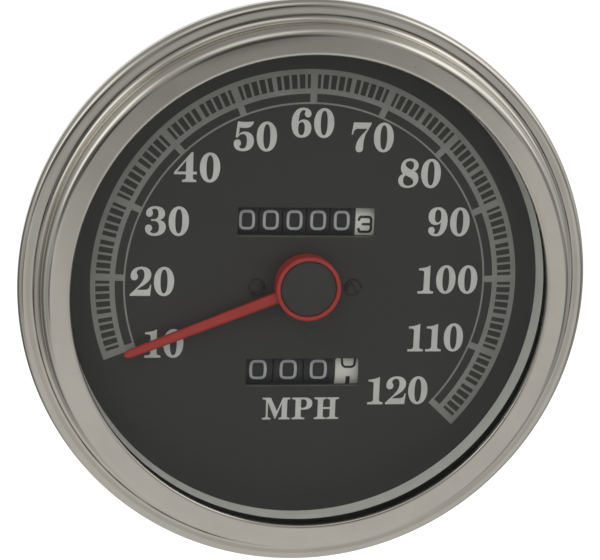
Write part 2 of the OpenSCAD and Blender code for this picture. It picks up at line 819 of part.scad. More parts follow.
// One number wheel, seen with its axis along x. The gear on its right face is turned by
// a pinion, and the two teeth on its left face turn the next pinion once in a lap.
module number_wheel(x, y, rim, has_gear, has_sector) {
    half = rim / 2;
    web = 1.2;
    translate([x, y, axis_z]) {
        rotate([0, 90, 0]) rotate_extrude() polygon([
            [arbor_r + run_gap, -half],
            [2.7, -half],
            [2.7, -web / 2],
            [recess_r, -web / 2],
            [recess_r, -half],
            [wheel_r, -half],
            [wheel_r, half],
            [recess_r, half],
            [recess_r, web / 2],
            [2.7, web / 2],
            [2.7, half],
            [arbor_r + run_gap, half]
        ]);
        if (has_gear) along_x(half - carry_root, carry_t + carry_root) difference() {
            gear_outline(carry_teeth, carry_m);
            circle(r = recess_r + 0.2);
        }
        if (has_sector) along_x(-half - carry_t, carry_t + carry_root) difference() {
            union() {
                circle(r = carry_r - carry_m);
                for (a = [170, 188]) rotate(a) translate([carry_r - 1.2, -0.5]) square([1.7, 1]);
            }
            circle(r = recess_r + 0.2);
        }
    }
}

function odo_wheel_x(i) = odo_x + (i - (odo_count + 1) / 2) * odo_pitch;
function trip_wheel_x(i) = trip_x + (i - (trip_count + 1) / 2) * trip_pitch;

// Odometer wheels are numbered from the left; the sixth shows tenths of a mile
module odometer_wheel(i) {
    color(i == odo_count ? ivory : black) gauge()
        number_wheel(odo_wheel_x(i), odo_y, odo_rim, i < odo_count, i > 1);
}

module trip_wheel(i) {
    color(i == trip_count ? ivory : black) gauge()
        number_wheel(trip_wheel_x(i), trip_y, trip_rim, i < trip_count, i > 1);
}

module odometer_wheel_1() { odometer_wheel(1); }
module odometer_wheel_2() { odometer_wheel(2); }
module odometer_wheel_3() { odometer_wheel(3); }
module odometer_wheel_4() { odometer_wheel(4); }
module odometer_wheel_5() { odometer_wheel(5); }
module odometer_wheel_6() { odometer_wheel(6); }
module trip_wheel_1() { trip_wheel(1); }
module trip_wheel_2() { trip_wheel(2); }
module trip_wheel_3() { trip_wheel(3); }
module trip_wheel_4() { trip_wheel(4); }

// Small pinion that passes one step from a wheel to the next
module transfer_pinion(x, y) {
    color(nylon) gauge() translate([0, y + pinion_off, axis_z]) along_x(x - pinion_t / 2, pinion_t)
        difference() {
            rotate(180 / pinion_teeth) gear_outline(pinion_teeth, carry_m);
            circle(r = rod_r + run_gap);
        }
}

module odometer_pinion(i) { transfer_pinion(odo_wheel_x(i) + odo_pitch / 2, odo_y); }
module trip_pinion(i) { transfer_pinion(trip_wheel_x(i) + trip_pitch / 2, trip_y); }
module odometer_pinion_1() { odometer_pinion(1); }
module odometer_pinion_2() { odometer_pinion(2); }
module odometer_pinion_3() { odometer_pinion(3); }
module odometer_pinion_4() { odometer_pinion(4); }
module odometer_pinion_5() { odometer_pinion(5); }
module trip_pinion_1() { trip_pinion(1); }
module trip_pinion_2() { trip_pinion(2); }
module trip_pinion_3() { trip_pinion(3); }

// Sleeve from a tenths wheel out through the side plate, with its spur gear
module drive_sleeve(x, y, turn) {
    translate([0, y, axis_z]) {
        along_x(x, spur_x + spur_t - x) difference() {
            circle(r = sleeve_r);
            circle(r = arbor_r + run_gap);
        }
        along_x(spur_x, spur_t) difference() {
            rotate(turn) gear_outline(spur_teeth, spur_m);
            circle(r = arbor_r + run_gap);
        }
    }
}

// The odometer's sleeve also carries the worm wheel that the lay shaft drives
module odometer_gear() {
    color(nylon) gauge() {
        drive_sleeve(odo_wheel_x(odo_count) + odo_rim / 2, odo_y, 0);
        translate([0, odo_y, axis_z]) along_x(lay_x - wheel_face / 2, wheel_face) difference() {
            rotate(180 / odo_drive_teeth) gear_outline(odo_drive_teeth, gear_m);
            circle(r = arbor_r + run_gap);
        }
    }
}

module trip_gear() {
    color(nylon) gauge() drive_sleeve(trip_wheel_x(trip_count) + trip_rim / 2, trip_y, 180 / spur_teeth);
}

// Idler that carries the drive down from the odometer to the trip meter
module idler_gear() {
    color(nylon) gauge() translate([0, idler_y, axis_z]) along_x(spur_x, spur_t) difference() {
        rotate(180 / idler_teeth) gear_outline(idler_teeth, spur_m);
        circle(r = arbor_r + run_gap);
    }
}

// Rod through the trip wheels that the reset knob turns
module trip_arbor() {
    collar_x = left_plate_x + plate_t + 0.2;
    collar_end = trip_wheel_x(1) - trip_rim / 2 - 0.2;
    color(steel) gauge() {
        rod_x(left_plate_x - 1, reset_x + reset_gear_t + 1 - left_plate_x, arbor_r, trip_y, axis_z);
        rod_x(collar_x, collar_end - collar_x, sleeve_r, trip_y, axis_z);
    }
}

module reset_gear() {
    color(brass) gauge() translate([0, trip_y, axis_z]) along_x(reset_x, reset_gear_t) difference() {
        gear_outline(reset_gear_teeth, gear_m);
        circle(r = arbor_r);
    }
}

// Stem from the right side plate out through the case, with its pinion
module reset_stem() {
    color(steel) gauge() {
        rod_x(right_plate_x, knob_x + knob_bore - right_plate_x, shaft_r, reset_y, axis_z);
        translate([0, reset_y, axis_z]) along_x(reset_x, reset_gear_t)
            rotate(180 / reset_pinion_teeth) gear_outline(reset_pinion_teeth, gear_m);
    }
}

// Fluted knob that zeroes the trip meter
module reset_knob() {
    flutes = 16;
    color(black) gauge() translate([knob_x, reset_y, axis_z]) rotate([0, 90, 0]) difference() {
        union() {
            cylinder(h = knob_len, r = knob_r);
            translate([0, 0, knob_len]) rotate_extrude()
                polygon(concat([[0, 0]], arc(0, -12.5, 13.3, 70, 90)));
        }
        translate([0, 0, -eps]) cylinder(h = knob_bore + eps, r = shaft_r);
        for (i = [0:flutes - 1]) rotate([0, 0, 360 * i / flutes])
            translate([knob_r + 0.35, 0, 1]) cylinder(h = knob_len + 3, r = 0.8);
    }
}

bezel();
lens();
lens_gasket();
case_seal();
dial_ring();
dial();
dial_screws();
housing();
mounting_studs();
drive_boss();
case_screws();
lamp_sockets();
lamps();
reset_bush();
movement_frame();
bearing_bush();
top_bridge();
left_side_plate();
right_side_plate();
odometer_arbor();
pinion_rods();
idler_pin();
field_cup();
hairspring();
pointer();
pointer_cap();
pointer_staff();
speed_cup();
spring_collet();
drive_spindle();
magnet();
cross_shaft();
cross_wheel();
lay_shaft();
lay_wheel();
odometer_wheel_1();
odometer_wheel_2();
odometer_wheel_3();
odometer_wheel_4();
odometer_wheel_5();
odometer_wheel_6();
odometer_gear();
odometer_pinion_1();
odometer_pinion_2();
odometer_pinion_3();
odometer_pinion_4();
odometer_pinion_5();
idler_gear();
trip_wheel_1();
trip_wheel_2();
trip_wheel_3();
trip_wheel_4();
trip_gear();
trip_pinion_1();
trip_pinion_2();
trip_pinion_3();
trip_arbor();
reset_gear();
reset_stem();
reset_knob();
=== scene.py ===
# %% [markdown]
# # A cable-driven speedometer
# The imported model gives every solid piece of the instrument: a pressed bezel, a glass, a
# printed dial, a red pointer, two rows of number wheels and the movement in its steel case.
# This lesson dresses that model. Each visible piece is made again as a smooth surface, with
# print, threads and flutes, and each material starts from what the real surface is.

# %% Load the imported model
import json
import math
import bmesh
import bpy
import numpy as np
from mathutils import Matrix, Vector
from mathutils.geometry import tessellate_polygon


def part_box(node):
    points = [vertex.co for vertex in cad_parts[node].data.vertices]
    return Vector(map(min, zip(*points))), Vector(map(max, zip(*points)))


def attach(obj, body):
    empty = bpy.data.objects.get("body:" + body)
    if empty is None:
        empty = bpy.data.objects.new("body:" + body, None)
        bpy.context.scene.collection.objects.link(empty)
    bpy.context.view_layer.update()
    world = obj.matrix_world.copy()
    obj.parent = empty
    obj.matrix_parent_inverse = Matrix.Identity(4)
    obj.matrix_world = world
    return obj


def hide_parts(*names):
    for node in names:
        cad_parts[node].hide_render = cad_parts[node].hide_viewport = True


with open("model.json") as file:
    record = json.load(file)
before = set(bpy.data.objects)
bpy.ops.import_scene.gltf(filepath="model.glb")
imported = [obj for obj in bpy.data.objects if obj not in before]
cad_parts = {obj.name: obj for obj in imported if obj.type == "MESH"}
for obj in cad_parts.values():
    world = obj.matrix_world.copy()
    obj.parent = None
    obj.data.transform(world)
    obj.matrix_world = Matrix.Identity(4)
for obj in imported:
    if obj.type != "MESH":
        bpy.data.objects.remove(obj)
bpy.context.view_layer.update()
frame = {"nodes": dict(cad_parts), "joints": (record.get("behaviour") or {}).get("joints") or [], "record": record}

nodes = frame["nodes"]

# %% [markdown]
# ## From gauge millimetres to the model's frame
# An instrument maker measures from the dial: x to the right, y up, z out of the dial. The
# model's frame is in metres, with the dial facing -Y and up along +Z, so one function takes
# whole arrays of points across. The dial's own front face tells where z = 0 is.

# %% Place points
dial_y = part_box("dial")[0].y


def to_frame(points):
    """Gauge (x, y, z) in mm goes to (x, dial_y - z, y) in metres."""
    p = np.asarray(points, float)
    return np.stack([p[..., 0], -p[..., 2], p[..., 1]], -1) / 1000 + [0, dial_y, 0]


def gauge_box(node):
    """Lowest and highest corner of a solid, in gauge millimetres."""
    low, high = (np.array(v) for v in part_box(node))
    near, far = (dial_y - high[1]) * 1000, (dial_y - low[1]) * 1000
    return (np.array([low[0] * 1000, low[2] * 1000, near]),
            np.array([high[0] * 1000, high[2] * 1000, far]))


print("dial plane at y =", round(dial_y, 4), "bezel", gauge_box("bezel")[1].round(2))

# %% [markdown]
# ## Turning arrays into pieces
# Blender takes a mesh as a list of points and a list of faces. A grid of points, worked out
# with numpy, needs no hand modelling: its faces are always the same four neighbours. Points
# that fall together, at a pole or a seam, are merged, and a negative volume shows that the
# faces look inwards, so they are turned round.

# %% Grid, mesh and turning helpers
def grid_faces(rows, columns, close_rows=False, close_columns=True):
    """Four neighbours of a grid make a face; a closed direction joins its ends."""
    i = np.arange(rows if close_rows else rows - 1)[:, None]
    j = np.arange(columns if close_columns else columns - 1)[None, :]
    i2, j2 = (i + 1) % rows, (j + 1) % columns
    quads = [i * columns + j, i * columns + j2, i2 * columns + j2, i2 * columns + j]
    return np.stack(np.broadcast_arrays(*quads), -1).reshape(-1, 4)


def join(parts):
    """Several (points, faces) shells become one."""
    points, faces, start = [], [], 0
    for p, f in parts:
        p = np.asarray(p, float).reshape(-1, 3)
        points.append(p)
        faces += [[int(i) + start for i in face] for face in f]
        start += len(p)
    return np.concatenate(points), faces


def in_scene(name, data):
    """A new object in the scene that shows a mesh, a lamp or a camera."""
    obj = bpy.data.objects.new(name, data)
    bpy.context.scene.collection.objects.link(obj)
    return obj


def piece(name, shell, body, finish, instead_of=(), crease=38):
    """Shell in gauge mm to a closed, outward, smooth-shaded object that rides on a body."""
    points, faces = shell
    mesh = bpy.data.meshes.new(name)
    mesh.from_pydata(to_frame(points).reshape(-1, 3).tolist(), [], [list(f) for f in faces])
    work = bmesh.new()
    work.from_mesh(mesh)
    bmesh.ops.remove_doubles(work, verts=work.verts, dist=2e-7)
    loose = [e for e in work.edges if not e.link_faces]
    bmesh.ops.delete(work, geom=loose, context="EDGES")
    bmesh.ops.recalc_face_normals(work, faces=work.faces)
    if work.calc_volume(signed=True) < 0:
        bmesh.ops.reverse_faces(work, faces=work.faces)
    work.to_mesh(mesh)
    work.free()
    mesh.shade_smooth()
    mesh.set_sharp_from_angle(angle=math.radians(crease))
    obj = in_scene(name, mesh)
    slot_name, material = finishes[finish]
    mesh.materials.append(material)
    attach(obj, body)
    if instead_of:
        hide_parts(*instead_of)
    print(f"{name}: {len(mesh.polygons)} faces on {body}")
    return obj


def unit(rows):
    """Each row brought to length 1."""
    return rows / (np.linalg.norm(rows, axis=1)[:, None] + 1e-12)


def around(steps):
    """Angles in even steps all the way round."""
    return np.linspace(0, 2 * math.pi, steps, endpoint=False)


def soften(corners, radii, steps=6):
    """Each corner of an outline becomes an arc of its radius that touches both its sides."""
    p = np.asarray(corners, float)
    r = np.array(np.broadcast_to(np.asarray(radii, float), len(p)))
    back, ahead = np.roll(p, 1, 0) - p, np.roll(p, -1, 0) - p
    u, v = unit(back), unit(ahead)
    half = np.arccos(np.clip((u * v).sum(1), -1, 1)) / 2
    side = np.minimum(np.linalg.norm(back, axis=1), np.linalg.norm(ahead, axis=1)) + 1e-12
    reach = np.minimum(r / np.tan(half), 0.49 * side)
    r = reach * np.tan(half)
    centre = p + unit(u + v) * (r / np.sin(half))[:, None]
    first, last = p + u * reach[:, None] - centre, p + v * reach[:, None] - centre
    a0, a1 = np.arctan2(first[:, 1], first[:, 0]), np.arctan2(last[:, 1], last[:, 0])
    turn_by = (a1 - a0 + math.pi) % (2 * math.pi) - math.pi
    a = a0[:, None] + turn_by[:, None] * np.linspace(0, 1, steps)
    arc = centre[:, None] + r[:, None, None] * np.stack([np.cos(a), np.sin(a)], -1)
    return np.where(r[:, None, None] > 1e-9, arc, p[:, None]).reshape(-1, 2)


def turned(profile, steps=256, centre=(0, 0, 0), axis="z"):
    """Profile (r, h) goes round an axis: r cos a and r sin a across it, h along it."""
    q = np.asarray(profile, float)
    a = around(steps)
    across = q[:, :1] * np.cos(a), q[:, :1] * np.sin(a)
    along = np.broadcast_to(q[:, 1:], across[0].shape)
    order = {"z": (across[0], across[1], along), "x": (along, across[0], across[1])}[axis]
    closed = not (q[0, 0] < 1e-9 and q[-1, 0] < 1e-9)
    return np.stack(order, -1) + np.asarray(centre, float), grid_faces(len(q), steps, closed)


def slab(loops, low, high):
    """Outline and holes, filled with triangles, and carried straight up from low to high."""
    flat = np.concatenate([np.asarray(loop, float) for loop in loops])
    n = len(flat)
    caps = tessellate_polygon([[Vector((x, y, 0)) for x, y in loop] for loop in loops])
    faces = [list(t) for t in caps] + [[i + n for i in reversed(t)] for t in caps]
    start = 0
    for loop in loops:
        i = np.arange(len(loop))
        j = (i + 1) % len(loop)
        faces += (np.stack([i, j, j + n, i + n], 1) + start).tolist()
        start += len(loop)
    both = np.concatenate([np.c_[flat, np.full(n, low)], np.c_[flat, np.full(n, high)]])
    return both, faces


print("helpers ready")

# %% [markdown]
# ## Small words for materials
# Colours are written as the hex values an eye-dropper would show; one function turns them
# into the linear numbers that the renderer adds and multiplies. One function adds any node,
# with its settings and its links.

# %% Colour and node helpers
def linear(colour):
    """sRGB hex to linear RGBA: below 0.04045 divide by 12.92, above it the 2.4 power."""
    c = np.array([int(colour[i:i + 2], 16) for i in (1, 3, 5)]) / 255
    c = np.where(c <= 0.04045, c / 12.92, ((c + 0.055) / 1.055) ** 2.4)
    return (*c.tolist(), 1.0)


def socket(sockets, key):
    """A socket by its identifier, which is unique, or else by its name."""
    return next((s for s in sockets if s.identifier == key), None) or sockets[key]


def add(tree, kind, inputs=None, output=None, **settings):
    """Adds one node: settings are its properties, inputs are numbers or other nodes' outputs.
    With output= it returns that output, ready to be linked, instead of the node."""
    new = tree.nodes.new(kind)
    for key, value in settings.items():
        setattr(new, key, value)
    for key, value in (inputs or {}).items():
        if isinstance(value, bpy.types.NodeSocket):
            tree.links.new(value, socket(new.inputs, key))
        else:
            socket(new.inputs, key).default_value = value
    return socket(new.outputs, output) if output else new


def fresh(collection, name):
    """A new material or world, and its node tree with nothing in it."""
    owner = collection.new(name)
    owner.use_nodes = True
    owner.node_tree.nodes.clear()
    return owner, owner.node_tree


finishes = {}  # each finish's slot in the model, and its material
# a print, a paint or dust takes the slot of the piece that it lies on
carrier = {"dust": "dial_black", "print_grey": "dial_black", "print_pale": "dial_black",
           "digit_pale": "wheel_black", "digit_black": "wheel_ivory"}


def surface(slot_name, material_name, low, high, grain_mm, rough, metallic=0.0, bump=0.0,
            bump_mm=0.3):
    """A material between two hex colours, mottled at grain_mm, with roughness from rough[0] to
    rough[1] in the same mottle, and a fine bump of bump_mm grains. It returns the node tree
    and its parts, for the one material that needs more."""
    material, tree = fresh(bpy.data.materials, material_name)
    place = add(tree, "ShaderNodeTexCoord", output="Object")
    mottle = add(tree, "ShaderNodeTexNoise", {"Vector": place, "Scale": 1000 / grain_mm,
                                              "Detail": 4.0, "Roughness": 0.6}, "Fac")
    share = add(tree, "ShaderNodeMapRange", {"Value": mottle, "From Min": 0.33,
                                             "From Max": 0.67}, "Result")
    colour = add(tree, "ShaderNodeMix", {"Factor_Float": share, "A_Color": linear(low),
                                         "B_Color": linear(high)}, "Result_Color",
                 data_type="RGBA")
    gloss = add(tree, "ShaderNodeMapRange", {"Value": share, "To Min": rough[0],
                                             "To Max": rough[1]}, "Result")
    shader = add(tree, "ShaderNodeBsdfPrincipled", {
        "Base Color": colour, "Roughness": gloss, "Metallic": metallic})
    if bump:
        grain = add(tree, "ShaderNodeTexNoise", {"Vector": place, "Scale": 1000 / bump_mm,
                                                 "Detail": 3.0}, "Fac")
        normal = add(tree, "ShaderNodeBump", {"Height": grain, "Strength": bump,
                                              "Distance": 0.0001}, "Normal")
        tree.links.new(normal, shader.inputs["Normal"])
    add(tree, "ShaderNodeOutputMaterial", {"Surface": shader.outputs["BSDF"]})
    finishes[slot_name] = (carrier.get(slot_name, slot_name), material)
    return tree, place, colour, gloss, shader


print("white is", linear("#ffffff"))

# %% [markdown]
# ## The plated bezel
# The bezel is a steel sheet pressed to shape and then plated with nickel and chromium. The
# plating is a sharp mirror, so nearly all its light and dark comes from the room and from the
# rounded edges. A thin dark line of painted shade is laid where the flange turns up into the
# wall, and a few pin-head pits show, as on a used one. The painted shade follows the shape, so
# it is placed by the distance from the gauge's axis, which the piece's own Object coordinates give.

# %% Plated steel
def band(tree, value, low, high, soft):
    """1 where value lies between low and high, falling to 0 over soft on each side."""
    rise = add(tree, "ShaderNodeMapRange", {
        "Value": value, "From Min": low - soft, "From Max": low}, "Result",
        interpolation_type="SMOOTHSTEP")
    fall = add(tree, "ShaderNodeMapRange", {
        "Value": value, "From Min": high, "From Max": high + soft, "To Min": 1.0,
        "To Max": 0.0}, "Result", interpolation_type="SMOOTHSTEP")
    return add(tree, "ShaderNodeMath", {0: rise, 1: fall}, "Value", operation="MULTIPLY")


tree, place, colour, gloss, shader = surface(
    "chrome", "chromium-plated steel, worn, painted crease shade", "#cfccc4", "#d8d5cd", 14, (0.06, 0.09), 1.0)
parts = add(tree, "ShaderNodeSeparateXYZ", {"Vector": place}).outputs
squares = [add(tree, "ShaderNodeMath", {0: parts[axis], 1: 2.0}, "Value", operation="POWER")
           for axis in "XZ"]
radius = add(tree, "ShaderNodeMath", {0: squares[0], 1: squares[1]}, "Value", operation="ADD")
radius = add(tree, "ShaderNodeMath", {0: radius, 1: 0.5}, "Value", operation="POWER")
# painted shade: a thin band 60.15 to 60.30 mm from the axis, where the flange turns up into the wall
crease = band(tree, radius, 0.06015, 0.06030, 0.0002)
# the painted shade line comes and goes in patches of about 8 mm, 120 to the metre
patchy = add(tree, "ShaderNodeTexNoise", {"Vector": place, "Scale": 120.0, "Detail": 2.0}, "Fac")
patchy = add(tree, "ShaderNodeMapRange", {"Value": patchy, "From Min": 0.25, "From Max": 0.6,
                                          "To Min": 0.45, "To Max": 0.9}, "Result")
crease_shade = add(tree, "ShaderNodeMath", {0: crease, 1: patchy}, "Value", operation="MULTIPLY")
# pits up to 0.3 mm across, about a millimetre apart, in a few places some 10 mm wide
cells = add(tree, "ShaderNodeTexVoronoi", {"Vector": place, "Scale": 900.0}, "Distance")
chance = add(tree, "ShaderNodeTexNoise", {"Vector": place, "Scale": 95.0, "Detail": 2.0}, "Fac")
pit_size = add(tree, "ShaderNodeMapRange", {"Value": chance, "From Min": 0.62, "From Max": 0.85,
                                            "To Min": 0.0, "To Max": 0.16}, "Result")
pit = add(tree, "ShaderNodeMath", {0: cells, 1: pit_size}, "Value", operation="LESS_THAN")
shade_and_pits = add(tree, "ShaderNodeMath", {0: crease_shade, 1: pit}, "Value", operation="MAXIMUM")
# the crease band is painted shade and the pits are real wear; both darken the plating to #4a4138
shaded_and_pitted = add(tree, "ShaderNodeMix", {"Factor_Float": shade_and_pits, "A_Color": colour,
                                     "B_Color": linear("#4a4138")}, "Result_Color",
             data_type="RGBA")
rougher = add(tree, "ShaderNodeMix", {"Factor_Float": shade_and_pits, "A_Float": gloss, "B_Float": 0.6},
              "Result_Float")
tree.links.new(shaded_and_pitted, shader.inputs["Base Color"])
tree.links.new(rougher, shader.inputs["Roughness"])
# a pressed sheet is never quite even: slow waves of about 17 mm
wave = add(tree, "ShaderNodeTexNoise", {"Vector": place, "Scale": 60.0, "Detail": 2.0}, "Fac")
normal = add(tree, "ShaderNodeBump", {"Height": wave, "Strength": 0.08, "Distance": 0.0004},
             "Normal")
tree.links.new(normal, shader.inputs["Normal"])
print("plated steel ready")

# %% [markdown]
# ## The other finishes
# Each is named for what it is and how its surface was made. Grain sizes are real ones in
# millimetres: the orange peel of sprayed paint is about 0.4 mm, the skin of a zinc casting
# about 0.5 mm, and zinc plating has a bloom some millimetres across.

# %% Painted, printed, moulded and metal finishes
rows = [  # slot, material, two colours, grain in mm, roughness, metal, bump, its grain in mm
    # sprayed enamel, screened inks and dust scatter light evenly, with hardly any highlight
    ("dial_black", "matt black dial enamel, sprayed", "#2e2e2e", "#313131", 30, (0.6, 0.7)),
    # this finish is real dust on the dial, and also the painted highlight strips on the windows' lower edges
    ("dust", "grey dust and bare worn edges", "#5d5d5a", "#747471", 2, (0.7, 0.85)),
    ("print_grey", "grey scale ink, screen printed", "#80817d", "#8a8b87", 5, (0.55, 0.7)),
    ("print_pale", "pale numeral ink, screen printed", "#c0c1bf", "#cacbc9", 5, (0.5, 0.65)),
    # lacquer has a soft gloss, broken up by a faint orange peel
    ("pale_ring", "pale grey lacquer on pressed tin", "#dfe0dc", "#e7e8e4", 6, (0.35, 0.5), 0,
     0.1, 0.4),
    ("pointer_red", "red lacquer on aluminium, sprayed", "#a12923", "#ac3028", 3, (0.38, 0.5),
     0, 0.04, 0.3),
    # mouldings take the polish of their mould: a wide, weak highlight and a fine skin
    ("cap_grey", "dark grey phenolic, moulded", "#2f2f2e", "#343433", 4, (0.55, 0.65), 0, 0.03,
     0.25),
    ("wheel_black", "black acetal, moulded", "#1f2225", "#232629", 4, (0.5, 0.6), 0, 0.03, 0.3),
    ("wheel_ivory", "ivory acetal, moulded", "#cfcfc9", "#d8d8d2", 4, (0.4, 0.55), 0, 0.08, 0.3),
    ("nylon", "natural nylon, moulded", "#d9d6c8", "#e3e0d4", 3, (0.35, 0.5), 0, 0.05, 0.3),
    ("knob_black", "black phenolic, moulded", "#17181a", "#202123", 5, (0.28, 0.42), 0, 0.12, 0.3),
    # paint wiped into the digits dries flat, with no highlight
    ("digit_pale", "grey digit paint, wiped in", "#a6a8aa", "#b2b4b6", 2, (0.5, 0.6)),
    ("digit_black", "black digit paint, wiped in", "#2a2b2c", "#313233", 2, (0.5, 0.6)),
    # rubber swallows light, and a ground magnet looks like dark stone
    ("rubber", "black sealing rubber, moulded", "#222222", "#2a2a29", 3, (0.65, 0.8), 0, 0.25,
     0.4),
    ("magnet", "ferrite magnet, sintered and ground", "#2b2b2d", "#353537", 2, (0.5, 0.65), 0,
     0.3, 0.25),
    # stoved enamel on the screws is glossy, so that they show by their highlights
    ("black_screw", "black enamelled steel", "#282828", "#2d2d2d", 1.5, (0.2, 0.28)),
    # zinc goes dull with a cloudy bloom, while fresh plating is brighter and smoother
    ("zinc_case", "zinc-plated pressed steel, dulled", "#a4a5a2", "#b0b1ad", 16, (0.36, 0.44),
     1, 0.12, 0.5),
    ("zinc_steel", "bright zinc-plated steel", "#b3b4b0", "#c6c6c1", 4, (0.22, 0.36), 1, 0.1, 0.3),
    # a casting has a pebbled grey skin
    ("die_cast", "zinc alloy, die cast", "#8b8c8a", "#9c9c99", 5, (0.4, 0.55), 1, 0.35, 0.5),
    # turned and spun metal is bright, with tool marks too fine to draw one by one
    ("brass", "brass, turned", "#c39a55", "#d1ab66", 3, (0.2, 0.34), 1, 0.1, 0.2),
    ("steel", "mild steel, turned and oiled", "#a3a19c", "#b4b2ad", 3, (0.22, 0.36), 1, 0.12, 0.2),
    ("aluminium", "aluminium, spun", "#c4c5c6", "#d2d3d4", 4, (0.24, 0.38), 1, 0.15, 0.25)]
for row in rows:
    surface(*row)
print(len(finishes), "finishes")

# %% [markdown]
# ## Glass
# Window glass is clear at the size of a gauge: what shows is a faint mirror on its front. A
# surface that lets light straight through, mixed with a mirror by Fresnel's rule, gives that
# without the bent shadows that a solid block would need thousands of samples for.

# %% Clear glass
def clear_glass(slot_name, material_name, tint, share_of_mirror):
    """Straight-through light tinted by the glass, and a mirror that grows at grazing angles."""
    material, tree = fresh(bpy.data.materials, material_name)
    through = add(tree, "ShaderNodeBsdfTransparent", {"Color": linear(tint)}, "BSDF")
    smears = add(tree, "ShaderNodeTexNoise", {  # wiping leaves smears about 18 mm wide
        "Vector": add(tree, "ShaderNodeTexCoord", output="Object"), "Scale": 55.0,
        "Detail": 4.0}, "Fac")
    dull = add(tree, "ShaderNodeMapRange", {"Value": smears, "To Min": 0.02, "To Max": 0.12},
               "Result")
    mirror = add(tree, "ShaderNodeBsdfGlossy", {"Roughness": dull}, "BSDF")
    rule = add(tree, "ShaderNodeFresnel", {"IOR": 1.5}, "Fac")
    rule = add(tree, "ShaderNodeMath", {0: rule, 1: share_of_mirror}, "Value",
               operation="MULTIPLY")
    both = add(tree, "ShaderNodeMixShader", {0: rule, 1: through, 2: mirror}, "Shader")
    add(tree, "ShaderNodeOutputMaterial", {"Surface": both})
    finishes[slot_name] = (slot_name, material)


clear_glass("glass", "float glass, polished edge", "#fdfdfc", 0.4)
clear_glass("lamp_glass", "lamp glass, blown", "#f4f4ee", 1.0)
print("glass ready")

# %% Give every solid of the model its finish
for part in frame["record"]["subparts"]:
    obj, material = nodes[part["node"]], finishes[part["material_slot"]][1]
    for holder in obj.material_slots:
        holder.material = material
    if not obj.material_slots:
        obj.data.materials.append(material)

# %% [markdown]
# ## The bezel's shape
# A press forms the bezel from one sheet: a hem behind, a rounded rim, a narrow flange, a hollow
# that turns up into a short wall, a rounded shoulder, and a face that rises a little towards
# the glass. One profile carried round an axis is the whole piece. The radii of its corners
# matter most, because each rounded edge gathers the whole room into thin lines of light and
# dark. A bezel is pressed on by hand, and this one sits 0.2 mm low, so its axis is that far
# from the dial's.

# %% Bezel
bezel_axis = (-0.12, -0.16, 0)
bezel_profile = soften(
    [(56.8, -1), (63.5, -1), (63.5, 4.55), (58.85, 4.55), (58.5, 11.06), (52.4, 12.2),
     (52.4, 10.7), (52.9, 10.6), (56.9, 9.85), (57.4, 7.0), (57.9, 3.6), (62.5, 3.6),
     (62.5, 0.0), (56.8, 0.0)],
    [0.3, 0.9, 1.9, 2.1, 3.0, 1.4, 0.1, 0.1, 1.0, 3.0, 0.5, 0.6, 0.3, 0.3], 14)
piece("bezel_pressed", turned(bezel_profile, 400, bezel_axis), "case", "chrome", ["bezel"])

# %% [markdown]
# ## Glass, and the ring between glass and dial
# The glass is a plain disc with ground edges, held in a channel of rubber that shows as a dark
# line under the bezel's lip. Below it a pale ring leans outwards a little, so that it catches
# light all the way round the dial. It lies loose in the case, and has slipped down by 0.3 mm.

# %% Glass and ring
glass_low, glass_high = gauge_box("lens")
lens_r, lens_z0, lens_z1 = glass_high[0], glass_low[2], glass_high[2]
piece("glass_disc", turned(soften(
    [(0, lens_z0), (lens_r, lens_z0), (lens_r, lens_z1), (0, lens_z1)], [0, 0.25, 0.25, 0], 4)),
    "case", "glass", ["lens"])
ring_axis = (0.1, -0.3, 0)
ring_profile = soften(
    [(52.95, 0.0), (53.4, 5.5), (57.0, 5.5), (57.0, 4.7), (54.2, 4.7), (53.75, 0.0)],
    [0.1, 0.45, 0.1, 0.1, 0.1, 0.1], 8)
piece("ring_under_glass", turned(ring_profile, centre=ring_axis), "case", "pale_ring",
      ["dial_ring"])
piece("rubber_channel", turned(soften(
    [(53.2, 5.52), (57.0, 5.52), (57.0, 9.6), (56.6, 9.85), (53.2, 10.45), (53.2, lens_z1),
     (lens_r, lens_z1), (lens_r, lens_z0), (53.2, lens_z0)],
    [0.3, 0.4, 0.2, 0.3, 0.3, 0.05, 0.1, 0.1, 0.05], 6)), "case", "rubber", ["lens_gasket"])

# %% [markdown]
# ## The dial plate
# The dial is a stamped sheet with two windows. A press tool rounds the edges that it cuts, and
# the lower edge of each window shows this as a thin light line. A small Bevel modifier on the
# sharp edges gives the rounding, and a pale strip of painted highlight along each lower edge
# gives the light line.

# %% Dial plate
def disc_outline(r, steps, x=0.0, y=0.0):
    """Points of a circle round (x, y)."""
    a = around(steps)
    return np.stack([x + r * np.cos(a), y + r * np.sin(a)], 1)


def window_outline(x, y, width, height, corner=0.35):
    """A rectangle round (x, y) with rounded corners."""
    w, h = width / 2, height / 2
    return soften([(x - w, y - h), (x + w, y - h), (x + w, y + h), (x - w, y + h)], corner, 5)


dial_r = gauge_box("dial")[1][0]
windows = [(-0.2, 14.2, 30.8, 6.25), (0.2, -20.25, 25.8, 6.1)]
screw_places = [(-10.85, -0.7), (10.85, -0.7)]
dial = piece("dial_plate", slab(
    [disc_outline(dial_r, 256), disc_outline(3.0, 48)]
    + [window_outline(*w) for w in windows]
    + [disc_outline(0.9, 24, *s) for s in screw_places], -0.8, 0.0),
    "case", "dial_black", ["dial"])
rounding = dial.modifiers.new("stamped edges", "BEVEL")
rounding.width, rounding.segments, rounding.limit_method = 0.0002, 3, "ANGLE"
rounding.angle_limit = math.radians(50)

# %% Painted edge highlights, and dust
random = np.random.default_rng(7)
